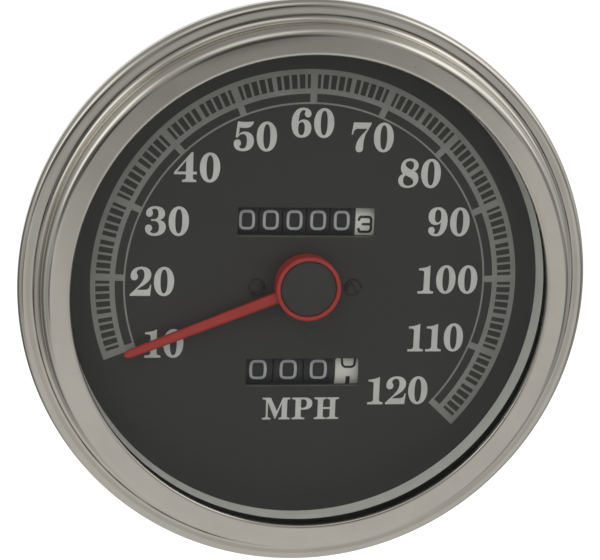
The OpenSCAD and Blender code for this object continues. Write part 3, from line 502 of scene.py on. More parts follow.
# a thin pale strip along the lower edge of each window is a painted highlight: the cut edge lit from above
edges = [slab([window_outline(x, y - h / 2 - 0.24, w - 0.8, 0.1, 0.04)], 0.0, 0.02)
         for x, y, w, h in windows]
spots = random.uniform(-36, 36, (40, 2))
spots = spots[(np.linalg.norm(spots, axis=1) < 38) & (np.linalg.norm(spots, axis=1) > 9)]
specks = [slab([disc_outline(r, 10, x, y)], 0.05, 0.09)
          for (x, y), r in zip(spots, random.uniform(0.04, 0.09, len(spots)))]
specks.append(slab([disc_outline(0.16, 14, 1.8, -11.5)], 0.05, 0.09))
piece("edge_highlights_and_dust", join(edges + specks), "case", "dust")

# %% [markdown]
# ## The speed scale
# The scale runs clockwise from 10 to 120, at 22.04 degrees for every 10. It is printed as a
# grey track with dark slots left open between the marks: wide marks at the tens, middling ones
# at the fives and thin ones between. So the ink is one outline with many holes, 0.04 mm thick.
# The screens for the scale and for the numerals are never quite in line: here the scale lies a
# quarter of a millimetre to the right.

# %% Scale print
ink = 0.04
per_mph = 2.204


def mark_angle(mph):
    """60 stands at the top, and speed runs clockwise."""
    return 90 - (np.asarray(mph, float) - 60) * per_mph


def sector(r_in, r_out, a_from, a_to, steps):
    """Outline of a piece of a ring: along its outer arc, and back along its inner one."""
    a = np.radians(np.linspace(a_from, a_to, steps))
    arc = np.stack([np.cos(a), np.sin(a)], 1)
    return np.concatenate([r_out * arc, r_in * arc[::-1]])


speeds = np.arange(10, 121)
half_width = np.where(speeds % 10 == 0, 1.0, np.where(speeds % 5 == 0, 0.65, 0.33))
marks = mark_angle(speeds)
starts, ends = marks[:-1] - half_width[:-1], marks[1:] + half_width[1:]
slots = [sector(43.8, 46.9, a, b, 4) for a, b in zip(starts, ends)]
tens = mark_angle(np.arange(10, 121, 10))
pockets = [sector(40.8, 42.65, a - 1.0, b + 1.0, 14) for a, b in zip(tens[:-1], tens[1:])]
track = sector(40.4, 48.05, tens[0] + 1.0, tens[-1] - 1.0, 240)
screen_shift = [0.25, 0.0]
loops = [loop + screen_shift for loop in [track] + slots + pockets]
piece("scale_print", slab(loops, 0.0, ink), "case", "print_grey")

# %% [markdown]
# ## Numerals
# The numerals are of an old roman kind, with fat stems and ball ends. Each is drawn here in a
# box 100 units high: its width, then a line of text for each closed loop. A loop starts at a
# point; after each comma two numbers are a line to a point, and six a curve with two handles.

# %% Numeral outlines
shapes = {
    "0": (69, "34.5 101, 53.8 101 69 80.6 69 50, 69 19.4 53.8 -1 34.5 -1, 15.2 -1 0 19.4 0 50, "
         "0 80.6 15.2 101 34.5 101",
         "34.5 92, 42 92 46.5 77.7 46.5 50, 46.5 22.3 42 8 34.5 8, 27 8 22.5 22.3 22.5 50, "
         "22.5 77.7 27 92 34.5 92"),
    "1": (55, "0 0, 55 0, 55 7.5, 48 8 41.5 9 41.5 17, 41.5 100, 32 93.5 16 90 1.5 89.5, "
         "1.5 82.5, 13 83 20.5 82 20.5 74, 20.5 17, 20.5 9 14 8 0 7.5"),
    "2": (72, "0 0, 69 0, 72.5 38, 68.5 38, 66.5 27 62 21 50 21, 23 21, 36 33 72 45 72 73, "
         "72 90 59 101 39 101, 17 101 2 88 2 68, 2 60 7.5 54 14.5 54, 21.5 54 27 59.5 27 66.5, "
         "27 72 24 75 22.5 78, 20 84 26 92.5 36 92.5, 45 92.5 49 85 49 73, 49 52 33 36 0 5"),
    "3": (70, "20 56.5, 30 56.5, 39 56.5 44.5 63 44.5 75, 44.5 87 40 92.5 32 92.5, "
         "27 92.5 23 91 22 88, 24.5 86 25.5 82 25.5 77, 25.5 70 20.5 64.5 14 64.5, "
         "7 64.5 2.5 69.5 2.5 76.5, 2.5 91 15 101 33 101, 53 101 66.5 91.5 66.5 76, "
         "66.5 64 60 57 48 54, 62 51 70 43 70 30, 70 11 55 -1 32 -1, 12 -1 0 10 0 25, "
         "0 32.5 5 38 12 38, 19 38 24 32.5 24 26, 24 20 20.5 16.5 16.5 15, 19 10.5 24 8 30.5 8, "
         "41 8 47 15 47 29.5, 47 43 41 50.5 30 50.5, 20 50.5"),
    "4": (77, "27 0, 75 0, 75 7, 68 7.5 63.5 9 63.5 15, 63.5 26, 76.5 26, 76.5 35, 63.5 35, "
         "63.5 101, 57 101, 0 33, 0 26, 40 26, 40 15, 40 9 35 7.5 27 7",
         "40 35, 9.5 35, 40 73"),
    "5": (68, "12 100, 30 97.5 50 97.5 66.5 100.5, 64 88 56 78.5 40 78, 31 77.7 24 78.5 19 79.5, "
         "16 55.5, 21 61.5 27.5 65.5 37 65.5, 56 65.5 68 53 68 33.5, 68 12 53 -1 31.5 -1, "
         "12 -1 0 9 0 25, 0 33 5 38.5 12.5 38.5, 19.5 38.5 24.5 33 24.5 26.5, "
         "24.5 21 22 17.5 18 15.5, 20 10.5 24.5 8 30 8, 40 8 44.5 17 44.5 33, "
         "44.5 49 40 57.5 30 57.5, 22 57.5 16 52.5 12.5 45, 6 46.5"),
    "6": (68, "38 101, 15 101 0 78 0 49, 0 18 13 -1 34 -1, 54 -1 68 11.5 68 31, "
         "68 50 56.5 61 42 61, 34 61 27.5 57.5 23.5 51.5, 24 77 29 93 40 93, "
         "44 93 46.5 91.5 48 89, 45.5 87 44 84 44 80, 44 73.5 48.5 68.5 55.5 68.5, "
         "62 68.5 66.5 73 66.5 80, 66.5 93 55 101 38 101",
         "35 52.5, 43 52.5 45.5 45 45.5 31, 45.5 16 42.5 7.5 35 7.5, 27 7.5 23 16 23 31, "
         "23 44 27 52.5 35 52.5"),
    "7": (68, "6 100, 68 100, 62 80 50 70 45.5 52, 42 38 41 26 41 12, 41 4 36 -1.5 28.5 -1.5, "
         "20.5 -1.5 15.5 4 15.5 12.5, 15.5 33 28 50 40 63, 47 70 51 74 52.5 79, 22 79, "
         "11 79 6.5 72 4.5 58.5, 0 58.5"),
    "8": (70, "39 101, 57 101 68.5 91 68.5 77, 68.5 67 63 60.5 54 57.5, 64 53 70 44 70 31, "
         "70 11.5 54 -1 32.5 -1, 13 -1 0 9.5 0 25, 0 36 6 43.5 15.5 47.5, 10.5 52 7.5 59 7.5 69, "
         "7.5 88 20 101 39 101",
         "38.5 92.5, 30 92.5 22.5 87.5 22.5 81, 22.5 72 35 66.5 44.5 61.5, "
         "49.5 65.5 52.5 70.5 52.5 78, 52.5 87.5 47.5 92.5 38.5 92.5",
         "25 43, 19.5 39 16.5 33.5 16.5 25.5, 16.5 13.5 23.5 6.5 34.5 6.5, 46 6.5 53 12 53 20, "
         "53 31 39 36.5 25 43"),
    "M": (124, "0 100, 37 100, 66 38, 91 100, 124 100, 124 93, 114 92 111 91 111 83, 111 17, "
         "111 9 114 8 124 7, 124 0, 74 0, 74 7, 84 8 87 9 87 17, 87 74, 60 4, 56 4, 24.5 80, "
         "24.5 17, 24.5 9 28 8 38 7, 38 0, 0 0, 0 7, 12 8 16.5 9 16.5 17, 16.5 85, "
         "16.5 91 11 93 0 93"),
    "P": (91, "0 100, 52 100, 77 100 91 90 91 73, 91 55 77 44.5 54 44.5, 40 44.5, 40 17, "
         "40 9 45 8 57 7, 57 0, 0 0, 0 7, 11 8 15.5 9 15.5 17, 15.5 83, 15.5 91 11 92 0 93",
         "40 92, 40 52.5, 48 52.5, 60 52.5 66 59 66 73, 66 86 60 92 48 92"),
    "H": (110, "0 100, 53 100, 53 93, 44 92 39.5 91 39.5 83, 39.5 55, 70.5 55, 70.5 83, "
         "70.5 91 66 92 57 93, 57 100, 110 100, 110 93, 99 92 94.5 91 94.5 83, 94.5 17, "
         "94.5 9 99 8 110 7, 110 0, 57 0, 57 7, 66 8 70.5 9 70.5 17, 70.5 46.5, 39.5 46.5, "
         "39.5 17, 39.5 9 44 8 53 7, 53 0, 0 0, 0 7, 11 8 15.5 9 15.5 17, 15.5 83, "
         "15.5 91 11 92 0 93"),
}
print("numerals drawn:", "".join(shapes))

# %% Lay out and print the numerals
def sampled(loop, steps=7):
    """Loop of lines and curves to points: (1-t)^3 a + 3 (1-t)^2 t b + 3 (1-t) t^2 c + t^3 d."""
    moves = [np.array(move.split(), float) for move in loop.split(",")]
    points = [moves[0][None]]
    t = np.linspace(0, 1, steps + 1)[1:, None]
    for move in moves[1:]:
        if len(move) == 2:
            points.append(move[None])
        else:
            a, (b, c, d) = points[-1][-1], move.reshape(3, 2)
            points.append((1 - t) ** 3 * a + 3 * (1 - t) ** 2 * t * b
                          + 3 * (1 - t) * t ** 2 * c + t ** 3 * d)
    line = np.concatenate(points)
    return line[:-1] if np.allclose(line[0], line[-1]) else line


def glyph(letter):
    """Width and sampled loops of a letter; a nine is a six turned half round."""
    if letter == "9":
        width, loops = glyph("6")
        return width, [np.array([width, 100.0]) - loop for loop in loops]
    width, *loops = shapes[letter]
    return width, [sampled(loop) for loop in loops]


def printed(text, x, y, height, gap=9):
    """Shells of a word centred on (x, y), letters side by side with a gap in hundredths."""
    letters = [glyph(c) for c in text]
    total = sum(w for w, _ in letters) + gap * (len(letters) - 1)
    left, size, shells = -total / 2, height / 100, []
    for width, loops in letters:
        moved = [(loop + [left, -50]) * size + [x, y] for loop in loops]
        shells.append(slab(moved, 0.0, ink))
        left += width + gap
    return shells


numeral_places = {
    "10": (-31.24, -13.61), "20": (-34.19, 0.50), "30": (-31.19, 14.05), "40": (-24.88, 26.05),
    "50": (-12.30, 33.06), "60": (0.30, 36.23), "70": (13.78, 33.24), "80": (24.83, 25.33),
    "90": (32.12, 14.41), "100": (32.60, 1.15), "110": (30.51, -12.35), "120": (22.34, -24.78)}
shells = [s for text, (x, y) in numeral_places.items() for s in printed(text, x, y, 6.5)]
piece("numeral_print", join(shells), "case", "print_pale")
piece("unit_print", join(printed("MPH", 0.08, -28.87, 5.1)), "case", "print_pale")

# %% [markdown]
# ## Screws of the dial
# Two small round-headed screws hold the dial. A head turned from a dome, with a slot cut
# across it, is a height worked out over a disc: the dome's height, less the slot's depth where
# the distance from a line across the middle is under half the slot's width.

# %% Slotted heads
def slotted_head(r, dome, side, slot_w, slot_depth, slot_angle, rings=26, steps=120):
    """Height h(d, a) = side + dome (1 - (d/r)^2) less a smooth slot, over a disc of radius r."""
    d = np.concatenate([np.linspace(0, 0.94, rings), [0.97, 0.99, 1.0]])[:, None] * r
    a = around(steps)[None, :]
    x, y = d * np.cos(a), d * np.sin(a)
    across = np.abs(x * math.sin(slot_angle) - y * math.cos(slot_angle))
    cut = 1 / (1 + np.exp((across - slot_w / 2) / (0.06 * slot_w)))
    edge = 0.12 * r * np.clip((d / r - 0.9) / 0.1, 0, 1) ** 2
    h = side + dome * (1 - (d / r) ** 2) - slot_depth * cut - edge
    top = np.stack(np.broadcast_arrays(x, y, h), -1)
    foot = np.stack([x[-1], y[-1], np.zeros(steps)], -1)[None]
    grid = np.concatenate([top, foot, np.zeros((1, steps, 3))])
    return grid, grid_faces(len(grid), steps)


heads = []
for (x, y), angle in zip(screw_places, (0.7, 2.2)):
    grid, faces = slotted_head(1.9, 0.75, 0.35, 0.42, 0.3, angle)
    shank = turned([(0, -4.0), (0.85, -4.0), (0.85, 0.1), (0, 0.1)], 24, (x, y, 0))
    heads += [(grid + [x, y, 0.0], faces), shank]
piece("dial_screw_heads", join(heads), "case", "black_screw", ["dial_screws"])

# %% [markdown]
# ## The pointer
# The pointer is pressed from aluminium and lacquered red: a hub like a shallow cup, and an arm
# that tapers to the tip. The arm is a rounded bar, so its section is a superellipse, carried
# outwards along the hub's radius while its width shrinks.

# %% Pointer
rest_angle = math.radians(201.5)


def spun(points, angle):
    """Turns gauge points about the dial's axis by an angle."""
    c, s = math.cos(angle), math.sin(angle)
    return points @ np.array([[c, s, 0], [-s, c, 0], [0, 0, 1]])


def tapered_bar(along, half_width, half_height, middle_z, steps=28):
    """Superellipse section |y/w|^2.4 + |z/h|^2.4 = 1 carried along x, closed at both ends."""
    a = around(steps)
    power = 2 / 2.4
    side = np.sign(np.cos(a)) * np.abs(np.cos(a)) ** power
    rise = np.sign(np.sin(a)) * np.abs(np.sin(a)) ** power
    ends = np.ones(len(along))
    ends[[0, -1]] = 0
    x = np.broadcast_to(along[:, None], (len(along), steps))
    y = (ends * half_width)[:, None] * side
    z = (ends * half_height)[:, None] * rise + middle_z
    return np.stack([x, y, z], -1), grid_faces(len(along), steps)


arm_foot, arm_tip = 6.8, 43.2
tip_bend = np.linspace(0, math.pi / 2, 10)[1:]
along = np.concatenate([[arm_foot], np.linspace(arm_foot, 41.0, 34),
                        arm_tip - 2.2 * np.cos(tip_bend) ** 1.4, [arm_tip]])
blunt = np.sqrt(np.clip(1 - (np.clip(along - 41.6, 0, 1.6) / 1.68) ** 2, 0, 1))
half_wide = np.interp(along, [arm_foot, 30.0, arm_tip], [1.32, 1.1, 0.95]) * blunt
half_high = np.interp(along, [arm_foot, arm_tip], [0.9, 0.86]) * (0.35 + 0.65 * blunt)
arm, arm_faces = tapered_bar(along, half_wide, half_high, 2.4)
hub_profile = soften(
    [(0, 1.0), (7.25, 1.0), (7.25, 5.5), (6.3, 5.5), (6.3, 1.6), (0, 1.6)],
    [0, 0.25, 0.36, 0.3, 0.1, 0], 7)
piece("pointer_red_arm", join([
    (spun(arm.reshape(-1, 3), rest_angle), arm_faces), turned(hub_profile, 160)]),
    "needle", "pointer_red", ["pointer"])
cap_profile = soften(
    [(0, 1.6), (6.25, 1.6), (6.25, 5.05), (3.0, 5.17), (0, 5.2)], [0, 0.1, 0.3, 1.0, 0], 7)
piece("pointer_hub_cap", turned(cap_profile, 128), "needle", "cap_grey", ["pointer_cap"])

# %% [markdown]
# ## Number wheels
# Each wheel is a moulded drum, with its digits sunk in and wiped with paint. The drum's skin
# is a thin ring over the solid wheel. The digits are strokes of even width: a path down the
# middle of each stroke, two lines beside it, and the whole bent round the drum.

# %% Wheel skins
hinges = {j["child"]: np.array(j["pos_m"]) for j in frame["joints"]}
wheel_r = 10.0
skin_r = wheel_r + 0.03


def wheel_place(body):
    """Centre of a wheel in gauge mm, from its hinge."""
    x, y, z = hinges[body] * 1000
    return np.array([x, z, dial_y * 1000 - y])


wheels = {}  # skin's width, digit's half width, half height and stroke, and its turn in degrees
for kind, count, common, last in (
        ("odometer", 6, (5.15, 1.46, 1.92, 0.6, 0.8), (4.38, 1.38, 1.72, 0.6, 104.0)),
        ("trip", 4, (6.7, 1.62, 1.94, 0.62, 0.8), (5.95, 1.47, 1.9, 0.56, 15.0))):
    for i in range(1, count + 1):
        wheels[f"{kind}_digit_{i}"] = last if i == count else common
ivory = ("odometer_digit_6", "trip_digit_4")
for body, sizes in wheels.items():
    w = sizes[0] / 2
    skin_profile = soften([(9.72, -w), (skin_r, -w), (skin_r, w), (9.72, w)],
                          [0.02, 0.22, 0.22, 0.02], 6)
    piece(body + "_skin", turned(skin_profile, 160, wheel_place(body), "x"), body,
          "wheel_ivory" if body in ivory else "wheel_black")

# %% [markdown]
# ## Digits
# The digits are drawn in a box from -1 to 1 each way, and stretched to the size of a wheel's
# digit. A line of text is one stroke: for each corner x, y and how round the tool maker's
# cutter leaves it, and the word close where the stroke joins up with its start.

# %% Digit strokes
strokes = {
    0: ["-0.94 -1 0.95, 0.94 -1 0.95, 1.03 0 6, 0.94 1 0.95, -0.94 1 0.95, -1.03 0 6, close"],
    1: ["0 1 0, 0 -1 0"],
    2: ["-1 0.5 0, -1 1 0.8, 1 1 0.8, 1 0.1 0.8, -1 -0.35 0.6, -1 -1 0, 1 -1 0"],
    3: ["-1.05 0.62 0, -0.85 1 0.45, 1 1 0.75, 1 0.04 0.4, -0.35 0.04 0",
        "0.5 0.04 0, 1 0.04 0.4, 1 -1 0.75, -0.85 -1 0.45, -1.05 -0.62 0"],
    4: ["0.3 1 0, -1 -0.4 0, 1 -0.4 0", "0.45 0.25 0, 0.45 -1 0"],
    5: ["0.9 1 0, -0.9 1 0, -0.9 0.12 0.2, 1 0.12 0.9, 1 -1 0.9, -1 -1 0.8, -1 -0.6 0"],
    6: ["0.75 1 0, -1 1 0.9, -1 -1 0.9, 1 -1 0.9, 1 0.1 0.8, -0.9 0.1 0"],
    7: ["-1 1 0, 1 1 0.1, -0.2 -1 0"],
    8: ["-0.9 0.05 0.75, 0.9 0.05 0.75, 0.9 1 0.75, -0.9 1 0.75, close",
        "-1 -1 0.75, 1 -1 0.75, 1 -0.05 0.75, -1 -0.05 0.75, close"],
    9: ["-0.75 -1 0, 1 -1 0.9, 1 1 0.9, -1 1 0.9, -1 -0.1 0.8, 0.9 -0.1 0"],
}


def stroke_loops(path, width, closed):
    """The two lines half a width each side of a path; for an open path they join round its
    ends with half circles."""
    ahead, behind = np.roll(path, -1, 0) - path, path - np.roll(path, 1, 0)
    if not closed:
        ahead[-1], behind[0] = behind[-1], ahead[0]
    ahead, behind = unit(ahead), unit(behind)
    middle = unit(ahead + behind)
    normal = np.stack([-middle[:, 1], middle[:, 0]], 1)
    spread = width / 2 / np.clip((middle * ahead).sum(1), 0.4, 1)[:, None]
    left, right = path + normal * spread, path - normal * spread
    if closed:
        return [left, right]
    a, half = np.linspace(0, math.pi, 7)[1:-1, None], width / 2
    end = path[-1] + half * (np.cos(a) * normal[-1] + np.sin(a) * ahead[-1])
    start = path[0] - half * (np.cos(a) * normal[0] + np.sin(a) * ahead[0])
    return [np.concatenate([left, end, right[::-1], start])]


def evenly(path, closed, spacing=0.25):
    """Points along a path at most about 0.25 mm apart, so that a long stroke follows the drum."""
    line = np.concatenate([path, path[:1]]) if closed else path
    run = np.concatenate([[0], np.cumsum(np.linalg.norm(np.diff(line, axis=0), axis=1))])
    keep = np.concatenate([[True], np.diff(run) > 1e-5])
    line, run = line[keep], run[keep]
    steps = int(run[-1] / spacing) + 2
    at = np.union1d(np.linspace(0, run[-1], steps), run[1:-1])
    at = at[np.concatenate([[True], np.diff(at) > 0.02])]
    at[-1] = run[-1]
    points = np.stack([np.interp(at, run, line[:, 0]), np.interp(at, run, line[:, 1])], 1)
    return points[:-1] if closed else points


def digit_shells(body, digit, half_w, half_h, stroke, phase, radius=0.95):
    """Strokes of one digit bent round the wheel: along it is x, up is the angle from the front
    towards the top, and the paint stands 0.02 mm above the skin."""
    centre = wheel_place(body)
    shells = []
    for level, line in enumerate(strokes[digit]):
        closed = line.endswith("close")
        corners = np.array([c.split() for c in line.removesuffix(", close").split(",")], float)
        path = soften(corners[:, :2] * [half_w, half_h], corners[:, 2] * radius, 7)
        loops = stroke_loops(evenly(path, closed), stroke, closed)
        if digit == 1:
            loops = [evenly(window_outline(0, 0, 1.75 * stroke, 2 * half_h + stroke, 0.12), True)]
        flat, faces = slab(loops, 0.0, 0.02 + 0.006 * level)
        angle = math.radians(phase - 36 * digit) + flat[:, 1] / wheel_r
        r = skin_r + flat[:, 2]
        bent = np.stack([flat[:, 0], r * np.sin(angle), r * np.cos(angle)], 1)
        shells.append((bent + centre, faces))
    return shells


for body, sizes in wheels.items():
    shells = [shell for digit in range(10) for shell in digit_shells(body, digit, *sizes[1:])]
    piece(body + "_digits", join(shells), body, "digit_black" if body in ivory else "digit_pale")

# %% [markdown]
# ## The case
# The case is drawn from sheet steel: a cup with a flange under the bezel and a well-rounded
# back, which is stiffened by one shallow ring. A collar carries the stem that sets the trip
# meter. It is zinc plated, which leaves a dull grey bloom.

# %% Case
case_profile = soften(
    [(62.3, 0.0), (62.3, 1.3), (55.0, 1.3), (55.0, -55.0), (6.0, -55.0), (6.0, -56.0),
     (14.5, -56.0), (15.2, -55.5), (17.0, -55.5), (17.7, -56.0), (56.0, -56.0), (56.0, 0.0)],
    [0.2, 0.2, 0.6, 8.0, 0.1, 0.1, 0.5, 0.3, 0.3, 0.5, 9.0, 0.3], 12)
low, high = gauge_box("reset_bush")
_, collar_y, collar_z = (low + high) / 2
collar_end = high[0] - 0.8
collar = turned(soften([(2.25, collar_end - 4.6), (3.3, collar_end - 4.6), (3.3, collar_end),
                        (2.25, collar_end)], 0.2, 5), 64, (0, collar_y, collar_z), "x")
piece("case_drawn", join([turned(case_profile, 320), collar]), "case", "zinc_case", ["housing"])

# %% [markdown]
# ## Threads
# A rolled thread is a ridge that climbs one pitch for each turn. Its radius depends on the
# height and the angle together: the distance from the nearest crest, as a share of the pitch,
# rises and falls like a triangle with its tips cut flat.

# %% Threaded rods and the cable boss
def threaded(r, depth, pitch, low_z, high_z, steps, rows_per_pitch=8, taper=0.8):
    """Radius r - depth * triangle(z/pitch - a/2pi), flat at crest and root, fading in at the low end."""
    rows = int((high_z - low_z) / pitch * rows_per_pitch) + 1
    z = np.linspace(low_z, high_z, rows)[:, None]
    a = around(steps)[None, :]
    phase = (z / pitch - a / (2 * math.pi)) % 1
    wave = np.clip(np.abs(phase - 0.5) * 2 * 1.3 - 0.15, 0, 1)
    lead_in = np.clip((z - low_z) / taper, 0, 1)
    radius = r - depth * wave - depth * (1 - lead_in) * (1 - wave)
    return np.stack(np.broadcast_arrays(radius * np.cos(a), radius * np.sin(a), z), -1)


def closed_rod(grid, low_z, high_z, bore=0.0):
    """A threaded grid, closed at both ends: on the axis, or down a bore."""
    steps = grid.shape[1]
    ring = disc_outline(bore, steps)
    first, last = (np.c_[ring, np.full(steps, z)][None] for z in (low_z, high_z))
    whole = np.concatenate([first, grid, last])
    return whole, grid_faces(len(whole), steps, bore > 0)


studs = []
stud_r, stud_end, stud_steps = 2.4, -70.0, 40
for stud_x in (-32, 32):
    rod = threaded(stud_r, 0.38, 0.8, stud_end, -57.2, stud_steps)
    shank = disc_outline(stud_r, stud_steps)
    plain = np.stack([np.c_[shank, np.full(stud_steps, z)] for z in (-56.9, -55.2)])
    points, faces = closed_rod(np.concatenate([rod, plain]), stud_end, -55.2)
    foot = soften([(0, -55.0), (4.8, -55.0), (4.8, -53.5), (0, -53.5)], [0, 0.2, 0.3, 0], 5)
    washer = soften([(2.45, -56.0), (5.0, -56.0), (5.0, -56.45), (2.45, -56.45)], 0.15, 4)
    studs += [(points + [stud_x, 0, 0], faces), turned(foot, 48, (stud_x, 0, 0)),
              turned(washer, 64, (stud_x, 0, 0))]
piece("threaded_studs", join(studs), "case", "zinc_steel", ["mounting_studs"])
boss_low, boss_high, bore_r = -73.0, -59.6, 3.6
boss_tube = closed_rod(threaded(7.94, 0.75, 1.411, boss_low, boss_high, 96), boss_low, boss_high,
                       bore_r)
boss_foot = turned(soften(
    [(bore_r, -60.0), (7.2, -60.0), (7.2, -58.5), (13.0, -58.5), (13.0, -56.0), (6.0, -56.0),
     (6.0, -53.5), (3.0, -53.5), (3.0, -59.0), (bore_r, -59.0)],
    [0.1, 0.1, 0.5, 0.5, 0.2, 0.1, 0.3, 0.2, 0.1, 0.1], 6), 160)
piece("cable_boss", join([boss_tube, boss_foot]), "case", "die_cast", ["drive_boss"])

# %% [markdown]
# ## Screws and lamp sockets of the back
# Three slotted cheese-head screws hold the movement. Two lamp sockets are pushed in from
# behind; each is a drawn tube with a flange, closed by a disc that carries the centre contact
# and two tabs for the wires.

# %% Case screws
case_back, screw_circle_r = -56.0, 26
screw_shells = []
for angle, slot_angle in zip(np.radians((100, 215, 325)), (0.4, 1.9, 2.7)):
    x, y = screw_circle_r * math.cos(angle), screw_circle_r * math.sin(angle)
    grid, faces = slotted_head(2.8, 0.2, 1.2, 0.8, 0.7, slot_angle)
    shank = turned([(0, -56.2), (1.4, -56.2), (1.4, -49.0), (0, -49.0)], 24, (x, y, 0))
    screw_shells += [(grid * [1, 1, -1] + [x, y, case_back], faces), shank]
piece("case_screw_heads", join(screw_shells), "case", "zinc_steel", ["case_screws"])

# %% Lamp sockets
tube = soften([(5.8, 6.0), (6.5, 6.0), (6.5, 0.0), (8.0, 0.0), (8.0, -1.2), (6.5, -1.2),
               (6.5, -9.0), (0, -9.0), (0, -8.2), (5.8, -8.2)],
              [0.2, 0.2, 0.15, 0.3, 0.5, 0.3, 0.9, 0, 0, 0.3], 7)
ridge = soften([(6.4, -4.4), (6.4, -3.6), (6.85, -3.7), (6.85, -4.3)], [0, 0, 0.2, 0.2], 5)
contact = soften([(0, -8.9), (1.6, -8.9), (1.6, -10.4), (0, -10.4)], [0, 0.1, 0.7, 0], 7)
blade = [(-1.5, -8.8), (1.5, -8.8), (1.5, -13.4), (0.9, -14.0), (-0.9, -14.0), (-1.5, -13.4)]
flat, faces = slab([blade, disc_outline(0.55, 16, 0, -12.4)], -0.4, 0.4)
socket_shells = []
for side in (-1, 1):
    spot = (side * 25.0, -31.0, case_back)
    socket_shells += [turned(tube, 96, spot), turned(ridge, 96, spot), turned(contact, 40, spot)]
    for tab in (-1, 1):
        stood = np.stack([flat[:, 2] + tab * 3.6, flat[:, 0], flat[:, 1]], 1)
        socket_shells.append((stood + spot, faces))
piece("lamp_socket_shells", join(socket_shells), "case", "zinc_steel", ["lamp_sockets"], 30)

# %% [markdown]
# ## The trip-setting knob
# The knob is a moulded button with flutes for the fingers. Its radius falls by half a
# millimetre in each of eighteen hollows, and the ends are rounded, so the flutes fade there.

# %% Knob
low, high = gauge_box("reset_knob")
knob_r = (high[1] - low[1]) / 2
_, knob_y, knob_z = (low + high) / 2
knob_profile = soften(
    [(0, low[0]), (knob_r, low[0]), (knob_r, high[0]), (knob_r - 1.6, high[0]), (1.6, high[0]),
     (0, high[0] - 0.2)],
    [0, 0.5, 0.9, 0.3, 0.3, 0], 9)
length = np.linspace(low[0] + 0.6, high[0] - 1.0, 14)
edge = int(np.argmax(knob_profile[:, 1] > high[0] - 1.0))
side = np.stack([np.full(14, knob_r), length], 1)
q = np.concatenate([knob_profile[:edge], side, knob_profile[edge:]])
a = around(216)
hollow = 0.5 * (0.5 - 0.5 * np.cos(18 * a)) ** 0.7
deep = np.clip((q[:, :1] - (knob_r - 0.9)) / 0.9, 0, 1)
r = q[:, :1] - hollow * deep
grid = np.stack([np.broadcast_to(q[:, 1:], r.shape), r * np.cos(a) + knob_y,
                 r * np.sin(a) + knob_z], -1)
piece("fluted_knob", (grid, grid_faces(len(q), len(a))), "reset", "knob_black", ["reset_knob"])

# %% [markdown]
# ## Studio
# The instrument hangs a hand's breadth above a pale floor. Plating shows the room rather than
# a colour of its own, so the room matters: a mid-grey room with bright soft boxes high at the
# left and the right, a dark patch above the camera, and light and dark patches behind. The
# world gives each kind of ray what it needs: white to the camera, the room to mirrors, and a
# plain level to matt surfaces.

# %% Camera
eye = Vector((-0.069438, -0.463769, 0.09324))
right = Vector((0.98694, -0.15641, 0.03863)).normalized()
back = Vector((-0.16108, -0.96249, 0.21833)).normalized()
up = back.cross(right).normalized()
right = up.cross(back).normalized()
camera_data = bpy.data.cameras.new("camera")
camera_data.sensor_fit, camera_data.sensor_width, camera_data.lens = "HORIZONTAL", 36.0, 114.0
camera_data.clip_start, camera_data.shift_y = 0.01, 0.0014
camera = in_scene("camera", camera_data)
camera.matrix_world = Matrix([(*c,) for c in zip(right, up, back)]).to_4x4()
camera.matrix_world.translation = eye
bpy.context.scene.camera = camera
print("camera looks along", tuple(round(c, 3) for c in -back))

# %% World
bpy.context.scene.world, tree = fresh(bpy.data.worlds, "studio")
ray = add(tree, "ShaderNodeLightPath")
way = add(tree, "ShaderNodeTexCoord", output="Generated")


def room_direction(across, above):
    """Direction out of the dial, across degrees to its right and above degrees up:
    (sin a cos b, -cos a cos b, sin b)."""
    a, b = math.radians(across), math.radians(above)
    return math.sin(a) * math.cos(b), -math.cos(a) * math.cos(b), math.sin(b)


def glow(before, across, above, inner, outer, level):
    """Lays a round patch over what is before: full within inner degrees, gone by outer."""
    cosine = add(tree, "ShaderNodeVectorMath", {0: way, 1: room_direction(across, above)},
                 "Value", operation="DOT_PRODUCT")
    amount = add(tree, "ShaderNodeMapRange", {
        "Value": cosine, "From Min": math.cos(math.radians(outer)),
        "From Max": math.cos(math.radians(inner))}, "Result",
        interpolation_type="SMOOTHSTEP")
    return add(tree, "ShaderNodeMix", {"Factor_Float": amount, "A_Color": before,
                                       "B_Color": warm_grey(level)}, "Result_Color",
               data_type="RGBA")


def warm_grey(level):
    """A light level with the slight warmth of the studio's lamps."""
    return (level, level * 0.985, level * 0.95, 1)


room = warm_grey(0.57)
patches = [  # across, above, full within, gone by, level
    (-2, 28, 12, 48, 0.3), (-80, 32, 1, 26, 1.4), (67, 45, 0, 20, 1.4),
    (84, 30, 0, 20, 1.1), (-22, 66, 0, 21, 0.85), (-158, 61, 19, 53, 0.3),
    (-111, 26, 2, 36, 0.4), (-136, -19, 13, 49, 0.14), (-155, 14, 4, 16, 0.25),
    (148, 13, 1, 18, 0.97), (176, 0, 16, 17, 0.78), (84, -14, 3, 20, 0.17),
    (-74, -12, 4, 23, 0.36), (-52, 13, 0, 21, 0.12), (65, 8, 2, 21, 0.25),
    (132, -29, 18, 46, 0.32), (-16, -80, 20, 64, 0.59), (-174, -48, 0, 36, 0.53),
    (-2, 30, 4, 18, 0.07), (-32, 17, 3, 15, 0.06), (38, 19, 3, 14, 0.14),
    (-50, -11, 3, 11, 0.2), (10, -13, 7, 17, 0.45)]
for patch in patches:
    room = glow(room, *patch)
paper_white = (1, 1, 1, 1)
plain, mirrored, white = (
    add(tree, "ShaderNodeBackground", {"Color": colour, "Strength": strength}, "Background")
    for colour, strength in ((paper_white, 0.72), (room, 1.0), (paper_white, 1.0)))
seen = add(tree, "ShaderNodeMixShader", {
    0: ray.outputs["Is Glossy Ray"], 1: plain, 2: mirrored}, "Shader")
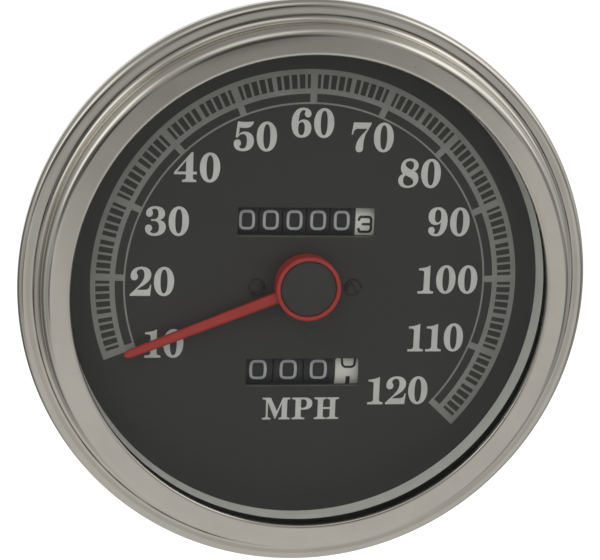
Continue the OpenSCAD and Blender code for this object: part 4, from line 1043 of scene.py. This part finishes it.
# the camera's own rays, and those that go on through clear glass, see plain white
through = add(tree, "ShaderNodeMath", {
    0: ray.outputs["Is Camera Ray"], 1: ray.outputs["Is Transmission Ray"]}, "Value",
    operation="MAXIMUM")
seen = add(tree, "ShaderNodeMixShader", {0: through, 1: seen, 2: white}, "Shader")
add(tree, "ShaderNodeOutputWorld", {"Surface": seen})
print("world ready")

# %% [markdown]
# ## Lamps and floor
# Two large area lamps shape the matt parts: the main one high at the left, in front, and a
# weaker one at the right. Mirrors see the room instead. The floor is white paper; for the
# camera it glows a little, so that it meets the white background and keeps the shadow.

# %% Lamps
def soft_lamp(name, place, size, power):
    """A square area lamp that looks at the instrument; mirrors don't see it."""
    data = bpy.data.lights.new(name, "AREA")
    data.size, data.energy = size, power
    lamp = in_scene(name, data)
    lamp.location = place
    aim = Vector((0, -0.03, 0)) - Vector(place)
    lamp.rotation_euler = aim.to_track_quat("-Z", "Y").to_euler()
    lamp.visible_glossy = False


soft_lamp("main_softbox", (-0.45, -0.75, 0.75), 0.6, 5.0)
soft_lamp("side_softbox", (0.8, -0.6, 0.3), 0.6, 1.5)
print("lamps ready")

# %% Floor
paper, tree = fresh(bpy.data.materials, "white paper, matt")
path = add(tree, "ShaderNodeLightPath")
fibres = add(tree, "ShaderNodeTexNoise", {"Scale": 600.0}, "Fac")
tone = add(tree, "ShaderNodeMix", {"Factor_Float": fibres, "A_Color": linear("#dcdcda"),
                                   "B_Color": linear("#e6e6e4")}, "Result_Color",
           data_type="RGBA")
matt = add(tree, "ShaderNodeBsdfDiffuse", {"Color": tone}, "BSDF")
seen = add(tree, "ShaderNodeMath", {
    0: path.outputs["Is Camera Ray"], 1: path.outputs["Is Transmission Ray"]}, "Value",
    operation="MAXIMUM")
seen = add(tree, "ShaderNodeMath", {0: seen, 1: 0.5}, "Value", operation="MULTIPLY")
glowing = add(tree, "ShaderNodeEmission", {"Color": paper_white, "Strength": seen}, "Emission")
both = add(tree, "ShaderNodeAddShader", {0: matt, 1: glowing}, "Shader")
add(tree, "ShaderNodeOutputMaterial", {"Surface": both})
floor_z, floor_front = -0.16, -0.28
mesh = bpy.data.meshes.new("floor")
mesh.from_pydata([(-3, floor_front, floor_z), (3, floor_front, floor_z), (3, 3, floor_z),
                  (-3, 3, floor_z)], [], [(0, 1, 2, 3)])
floor = in_scene("floor", mesh)
mesh.materials.append(paper)
floor.visible_glossy = False
bpy.context.scene.view_settings.view_transform = "Standard"
print("floor at", floor_z)
